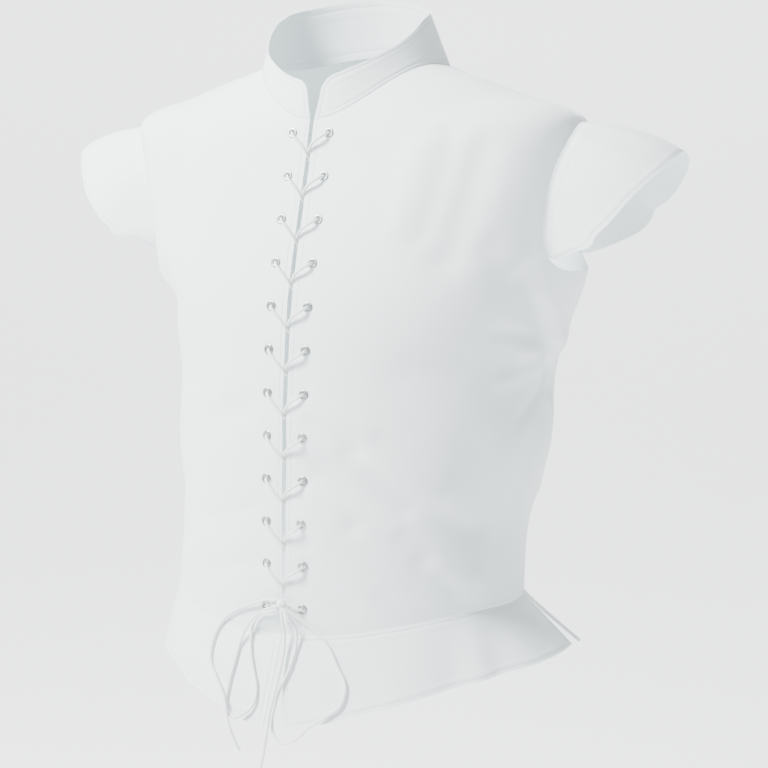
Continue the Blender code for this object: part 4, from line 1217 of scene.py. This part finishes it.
def steel_look():
    """Nickel-plated steel, dulled and finely scratched."""
    made, tree, shader = material("eyelet_steel", Metallic=0.95, Specular_IOR_Level=0.5)
    place = node(tree, "ShaderNodeTexCoord", {}, {}, 3)
    fine = node(tree, "ShaderNodeTexNoise", {}, {"Vector": place, "Scale": 1800.0, "Detail": 3.0})
    broad = node(tree, "ShaderNodeTexNoise", {}, {"Vector": place, "Scale": 260.0, "Detail": 3.0})
    dull = tuple(c * 0.72 for c in STEEL_COLOUR)
    plug(tree, mixed(tree, broad, STEEL_COLOUR, dull), shader, "Base Color")
    plug(tree, 0.22 + broad * 0.2 + fine * 0.08, shader, "Roughness")
    plug(tree, bump(tree, fine, 0.25, 0.0001), shader, "Normal")
    return made


steel = steel_look()


def make_eyelet(name, place):
    """One eyelet, turned about the axis of its hole."""
    middle, normal, level, rise = tangent_frame(place)
    angles = np.arange(EYELET_SIDES) * 2 * pi / EYELET_SIDES
    points, faces = [], []
    for row in EYELET_PROFILE:
        for angle in angles:
            aside = cos(angle) * level + sin(angle) * rise
            points.append(tuple(middle + row.radius * aside + row.height * normal))
    rings = len(EYELET_PROFILE)
    for i in range(rings):
        j = (i + 1) % rings
        for k in range(EYELET_SIDES):
            m = (k + 1) % EYELET_SIDES
            a, b = i * EYELET_SIDES, j * EYELET_SIDES
            faces.append((a + k, a + m, b + m, b + k))
    mesh = bpy.data.meshes.new(name)
    mesh.from_pydata(points, [], faces)
    mesh.shade_smooth()
    mesh.set_sharp_from_angle(angle=radians(50))
    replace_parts(linked(name, mesh, steel), name)


for side, word in ((RIGHT, "right"), (LEFT, "left")):
    for number, place in enumerate(LADDER[side], 1):
        make_eyelet(f"eyelet_{word}_{number:02d}", place)

# Lacing
# One round braided cotton lace, 2.6 mm thick, straight behind the top pair, then out of each
# eyelet, down and in, over the other half in turn and up through the next eyelet.
LACE = 0.0026
LACE_COLOUR = (0.87, 0.91, 0.88)
LACE_SIDES = 12
LACE_ROW = 0.0011
BRAID_PITCH = 0.0030
Pass = namedtuple("Pass", "across down out")
LACE_PASS = (
    Pass(-2.6, 14.9, 2.4),
    Pass(-0.8, 17.8, 1.3),
    Pass(0.0, 19.4, -0.8),
    Pass(0.8, 21.0, -2.9),
    Pass(2.6, 23.9, -4.2),
)
CROSSING_SHIFT = 2.2
Bend = namedtuple("Bend", "aside out")
EYELET_LEAVE = (Bend(0.5, 1.7), Bend(2.4, 3.1))
EYELET_ARRIVE = (Bend(2.5, -4.3), Bend(0.6, -2.8))
EYELET_MIDDLE_OUT = -0.7
TOP_BAR_START = 0.15
TOP_BAR_OUT = -4.3
LACE_END = (Pass(-11.5, -3.2, 3.5), Pass(-5.95, -4.2, 4.3))


def lace_cloth():
    """Round braided cotton: strands that cross on a slant, slightly fluffy, with painted shade in the hollows
    between the strands.
    """
    made, tree, shader = material(
        "white_lace", Sheen_Weight=0.4, Sheen_Roughness=0.5, Specular_IOR_Level=0.25)
    place = node(tree, "ShaderNodeUVMap", {"uv_map": "run"}, {})
    split = tree.nodes.new("ShaderNodeSeparateXYZ")
    tree.links.new(place.socket, split.inputs[0])
    along, turn = Value(tree, split.outputs[0]), Value(tree, split.outputs[1])
    one = (along * (2 * pi / BRAID_PITCH) + turn * (2 * pi * 3)).sine()
    two = (along * (2 * pi / BRAID_PITCH) - turn * (2 * pi * 3)).sine()
    weave = one * two
    where = node(tree, "ShaderNodeTexCoord", {}, {}, 3)
    fluff = node(tree, "ShaderNodeTexNoise", {}, {"Vector": where, "Scale": 2200.0, "Detail": 3.0})
    plug(tree, bump(tree, weave * 0.6 + fluff * 0.5, 0.7, 0.0003), shader, "Normal")
    darker = tuple(c * 0.84 for c in LACE_COLOUR)
    # The base colour is darker where the braid lies low: painted shade between the strands. The fluff noise
    # adds random tone.
    plug(tree, mixed(tree, 0.35 - weave * 0.3 + fluff * 0.2, LACE_COLOUR, darker), shader, "Base Color")
    plug(tree, 0.72 + fluff * 0.15, shader, "Roughness")
    return made


lace_look = lace_cloth()


def even_points(places, step):
    """Points a step apart on one smooth curve through the places, and its length."""
    run = np.concatenate([[0], np.cumsum(np.linalg.norm(np.diff(places, axis=0), axis=1))])
    rows = np.column_stack([run, places])
    fine = through(rows, np.linspace(0, run[-1], 6001))[:, 1:]
    length = np.concatenate([[0], np.cumsum(np.linalg.norm(np.diff(fine, axis=0), axis=1))])
    even = np.linspace(0, length[-1], ceil(length[-1] / step) + 1)
    return np.column_stack([np.interp(even, length, axis) for axis in fine.T]), length[-1]


def tube(name, points, round_end):
    """A round lace along its centre points; a round end is drawn in a little."""
    ways = unit(np.gradient(points, axis=0))
    side = unit(np.cross(ways[0], np.array([0.3, -0.9, 0.31])))
    sizes = np.full(len(points), LACE / 2)
    if round_end:
        sizes[-2:] *= (0.93, 0.62)
    corners, run = [], 0.0
    marks = []
    for i, (point, way) in enumerate(zip(points, ways)):
        side = unit(side - way * (side @ way))
        other = np.cross(way, side)
        if i:
            run += float(np.linalg.norm(point - points[i - 1]))
        marks.append(run)
        for k in range(LACE_SIDES):
            angle = 2 * pi * k / LACE_SIDES
            corners.append(tuple(point + sizes[i] * (cos(angle) * side + sin(angle) * other)))
    faces, uvs = [], []
    for i in range(len(points) - 1):
        for k in range(LACE_SIDES):
            m = (k + 1) % LACE_SIDES
            a, b = i * LACE_SIDES, (i + 1) * LACE_SIDES
            faces.append((a + k, a + m, b + m, b + k))
            near, far = k / LACE_SIDES, (k + 1) / LACE_SIDES
            uvs += [(marks[i], near), (marks[i], far), (marks[i + 1], far), (marks[i + 1], near)]
    last = (len(points) - 1) * LACE_SIDES
    faces.append(tuple(range(LACE_SIDES - 1, -1, -1)))
    faces.append(tuple(range(last, last + LACE_SIDES)))
    uvs += [(0.0, k / LACE_SIDES) for k in range(LACE_SIDES)]
    uvs += [(marks[-1], k / LACE_SIDES) for k in range(LACE_SIDES)]
    mesh = bpy.data.meshes.new(name)
    mesh.from_pydata(corners, [], faces)
    layer = mesh.uv_layers.new(name="run")
    layer.data.foreach_set("uv", np.array(uvs, np.float32).ravel())
    mesh.shade_smooth()
    mesh.set_sharp_from_angle(angle=radians(60))
    made = linked(name, mesh, lace_look)
    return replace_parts(made, name)


def lace_point(x, z, out):
    """A point of the lacing, by its x and z and how far out from the cloth it lies."""
    around, up = body_at(x, z)
    normal = outward(body, np.array([around]), np.array([up]))[0]
    return body(around, up) + normal * out


def lace_half(side):
    """The held half of the lace that goes out through the top eyelet on one side first."""
    reach = 1000 * (EYELET_IN + FRONT_GAP / 2)
    pitch = 1000 * EYELET_PITCH
    length = np.hypot(reach, pitch / 2)
    slant, fall = reach / length, pitch / 2 / length
    points = []

    def add(start, row, across, down, out):
        """Across counts from the starting side; all three are in millimetres."""
        z = EYELET_TOP - row * EYELET_PITCH - down / 1000
        points.append(lace_point(-start * across / 1000, z, out / 1000))

    add(-side, 0, TOP_BAR_START, 0, TOP_BAR_OUT)
    for bend in EYELET_ARRIVE:
        add(-side, 0, reach - bend.aside, 0, bend.out)
    at = side
    for row in range(EYELETS - 1):
        add(at, row, -reach, 0, EYELET_MIDDLE_OUT)
        for bend in EYELET_LEAVE:
            add(at, row, slant * bend.aside - reach, fall * bend.aside, bend.out)
        shift = CROSSING_SHIFT * (side if row % 2 else -side)
        for step in LACE_PASS:
            add(at, row, step.across, step.down + shift, step.out)
        for bend in EYELET_ARRIVE:
            add(at, row, reach - slant * bend.aside, pitch - fall * bend.aside, bend.out)
        at = -at
    add(at, EYELETS - 1, -reach, 0, EYELET_MIDDLE_OUT)
    for bend in EYELET_LEAVE:
        add(at, EYELETS - 1, bend.aside - reach, 0, bend.out)
    for step in LACE_END:
        add(at, EYELETS - 1, *step)
    return np.array(points)


tube("lace_left_half", even_points(lace_half(LEFT), LACE_ROW)[0], False)
tube("lace_right_half", even_points(lace_half(RIGHT), LACE_ROW)[0], False)

# Bow
# The two halves meet below the last pair in a small knot, with a loop and a cut end to each
# side, which hang limp over the skirt.
KNOT_Z = -0.490
KNOT_OUT = 0.0046
KNOT_HALF = (0.0056, 0.0036, 0.0046)
Wrap = namedtuple("Wrap", "turn tilt")
KNOT_WRAPS = (Wrap(90, 12), Wrap(20, -20), Wrap(150, 24))
Route = namedtuple("Route", "x y z")
TAIL_RIGHT = (
    Route(-4.4, -144.1, -486.7),
    Route(-12.5, -143.6, -486.7),
    Route(-25.1, -139.3, -490.9),
    Route(-38.3, -135.9, -496.3),
    Route(-54.2, -132.0, -503.7),
    Route(-67.3, -128.9, -514.4),
    Route(-76.5, -131.0, -533.0),
    Route(-76.5, -136.0, -551.3),
    Route(-67.3, -142.4, -562.9),
    Route(-51.1, -153.6, -581.7),
    Route(-43.5, -161.0, -597.0),
    Route(-36.4, -162.0, -612.9),
    Route(-30.3, -161.4, -624.0),
)
TAIL_LEFT = (
    Route(0.0, -142.4, -494.7),
    Route(2.8, -143.8, -504.8),
    Route(4.8, -142.8, -518.0),
    Route(4.6, -143.8, -531.0),
    Route(3.9, -147.9, -545.6),
    Route(2.2, -154.5, -565.7),
    Route(0.2, -160.2, -584.1),
    Route(-1.2, -163.2, -602.0),
    Route(-4.4, -163.4, -622.0),
    Route(-8.4, -162.8, -640.0),
    Route(-11.5, -162.2, -660.0),
)
LOOP_RIGHT = (
    Route(-3.7, -141.4, -494.0),
    Route(-12.0, -139.9, -498.3),
    Route(-25.1, -137.7, -503.5),
    Route(-32.0, -136.9, -516.5),
    Route(-31.5, -140.4, -534.1),
    Route(-25.6, -145.5, -552.0),
    Route(-19.8, -149.7, -568.0),
    Route(-20.6, -153.6, -581.0),
    Route(-30.0, -156.5, -591.6),
    Route(-41.5, -156.8, -595.8),
    Route(-50.6, -151.7, -587.0),
    Route(-50.8, -146.6, -569.0),
    Route(-47.7, -142.1, -549.6),
    Route(-43.6, -138.2, -530.0),
    Route(-33.5, -140.3, -511.4),
    Route(-21.0, -144.0, -499.4),
    Route(-8.5, -147.0, -493.8),
    Route(-2.5, -145.5, -492.6),
)
LOOP_LEFT = (
    Route(4.3, -141.4, -493.5),
    Route(12.5, -139.5, -499.5),
    Route(28.3, -136.5, -510.1),
    Route(43.0, -136.2, -522.0),
    Route(56.7, -139.4, -541.2),
    Route(66.5, -142.7, -558.5),
    Route(64.6, -147.6, -572.6),
    Route(50.9, -153.5, -585.4),
    Route(38.0, -158.7, -595.0),
    Route(25.8, -161.0, -606.8),
    Route(13.6, -160.9, -611.6),
    Route(5.2, -160.1, -606.8),
    Route(0.9, -157.8, -594.5),
    Route(2.0, -153.9, -579.0),
    Route(6.0, -149.5, -562.1),
    Route(11.8, -145.3, -546.0),
    Route(15.4, -140.6, -526.5),
    Route(15.0, -140.8, -511.5),
    Route(8.5, -147.0, -498.2),
    Route(2.5, -145.5, -492.6),
)


def make_knot():
    """A rounded lump with three turns of the lace sunk half into it."""
    centre = lace_point(0.0, KNOT_Z, KNOT_OUT)
    shape = bmesh.new()
    layer = shape.loops.layers.uv.new("run")
    bmesh.ops.create_icosphere(shape, subdivisions=4, radius=1)
    for vert in shape.verts:
        spot = vert.co.normalized()
        swell = 0.86
        for wrap in KNOT_WRAPS:
            lean, turn = radians(wrap.tilt), radians(wrap.turn)
            axis = Vector((cos(turn) * cos(lean), sin(lean), sin(turn) * cos(lean)))
            swell += 0.13 * np.exp(-(spot.dot(axis) / 0.34) ** 4)
        vert.co = Vector([c + h * min(swell, 1.0) * v for c, h, v in zip(centre, KNOT_HALF, spot)])
    for face in shape.faces:
        for loop in face.loops:
            loop[layer].uv = (loop.vert.co.x + loop.vert.co.z, loop.vert.co.y / LACE / 3)
    mesh = bpy.data.meshes.new("lace_knot")
    shape.to_mesh(mesh)
    shape.free()
    mesh.shade_smooth()
    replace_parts(linked("lace_knot", mesh, lace_look), "lace_knot")


make_knot()
for name, route, far_end in (
    ("tail_right", TAIL_RIGHT, "bare"),
    ("tail_left", TAIL_LEFT, "bare"),
    ("loop_right", LOOP_RIGHT, "object"),
    ("loop_left", LOOP_LEFT, "object"),
):
    points, length = even_points(np.array(route) / 1000, LACE_ROW)
    made = tube(name, points, far_end == "bare")

# Studio
# A pale floor far below that curves up behind, with one large soft light high on the camera's
# left, a weaker one on its right and a bright even room.
FLOOR_Z = -1.30
FLOOR_COLOUR = (0.93, 0.94, 0.94)
Sweep = namedtuple("Sweep", "behind high")
SWEEP_FRONT = 3.0
SWEEP_BACK = 3.6
SWEEP_RADIUS = 1.8
SWEEP_TOP = 4.5
SWEEP_HALF_WIDTH = 7.0
Lamp = namedtuple("Lamp", "name azimuth elevation distance size watts colour")
LAMPS = (
    Lamp("key", -40, 45, 2.6, 0.9, 300, (1.0, 0.995, 0.98)),
    Lamp("side", 84, 22, 2.6, 1.4, 12, (0.93, 0.98, 1.0)),
    Lamp("back", 205, 50, 2.8, 1.2, 40, (0.92, 0.97, 1.0)),
)


def make_sweep():
    """The floor and the backdrop in one curved sheet, square to the camera."""
    rows = [Sweep(-SWEEP_FRONT, 0.0)]
    for angle in np.radians(np.linspace(0, 90, 25)):
        rows.append(Sweep(SWEEP_BACK + SWEEP_RADIUS * sin(angle), SWEEP_RADIUS * (1 - cos(angle))))
    rows.append(Sweep(SWEEP_BACK + SWEEP_RADIUS, SWEEP_TOP))
    back = Vector((ahead.x, ahead.y, 0)).normalized()
    points = []
    for row in rows:
        for side in (-1, 1):
            place = back * row.behind + level * side * SWEEP_HALF_WIDTH
            points.append((place.x, place.y, FLOOR_Z + row.high))
    faces = [(2 * i, 2 * i + 1, 2 * i + 3, 2 * i + 2) for i in range(len(rows) - 1)]
    mesh = bpy.data.meshes.new("floor")
    mesh.from_pydata(points, [], faces)
    made, tree, shader = material(
        "floor",
        Specular_IOR_Level=0.2,
        Emission_Color=(1.0, 1.0, 1.0, 1.0),
        Emission_Strength=1.5,
    )
    place = node(tree, "ShaderNodeTexCoord", {}, {}, 3)
    grain = node(tree, "ShaderNodeTexNoise", {}, {"Vector": place, "Scale": 3.0, "Detail": 5.0})
    paler = tuple(c * 0.985 for c in FLOOR_COLOUR)
    plug(tree, mixed(tree, grain, FLOOR_COLOUR, paler), shader, "Base Color")
    plug(tree, 0.75 + grain * 0.1, shader, "Roughness")
    mesh.materials.append(made)
    mesh.shade_smooth()
    floor = bpy.data.objects.new("floor", mesh)
    bpy.context.collection.objects.link(floor)


make_sweep()
for lamp in LAMPS:
    data = bpy.data.lights.new(lamp.name, "AREA")
    data.shape = "DISK"
    data.size = lamp.size
    data.energy = lamp.watts
    data.color = lamp.colour
    light = bpy.data.objects.new(lamp.name, data)
    a, e = radians(lamp.azimuth), radians(lamp.elevation)
    away = Vector((sin(a) * cos(e), -cos(a) * cos(e), sin(e)))
    light.location = away * lamp.distance + Vector((0, 0, -0.3))
    light.rotation_euler = away.to_track_quat("Z", "Y").to_euler()
    bpy.context.collection.objects.link(light)
room = bpy.data.worlds.new("room")
room.use_nodes = True
room.node_tree.nodes["Background"].inputs["Color"].default_value = (0.90, 0.965, 1.0, 1.0)
room.node_tree.nodes["Background"].inputs["Strength"].default_value = 0.7
bpy.context.scene.world = room
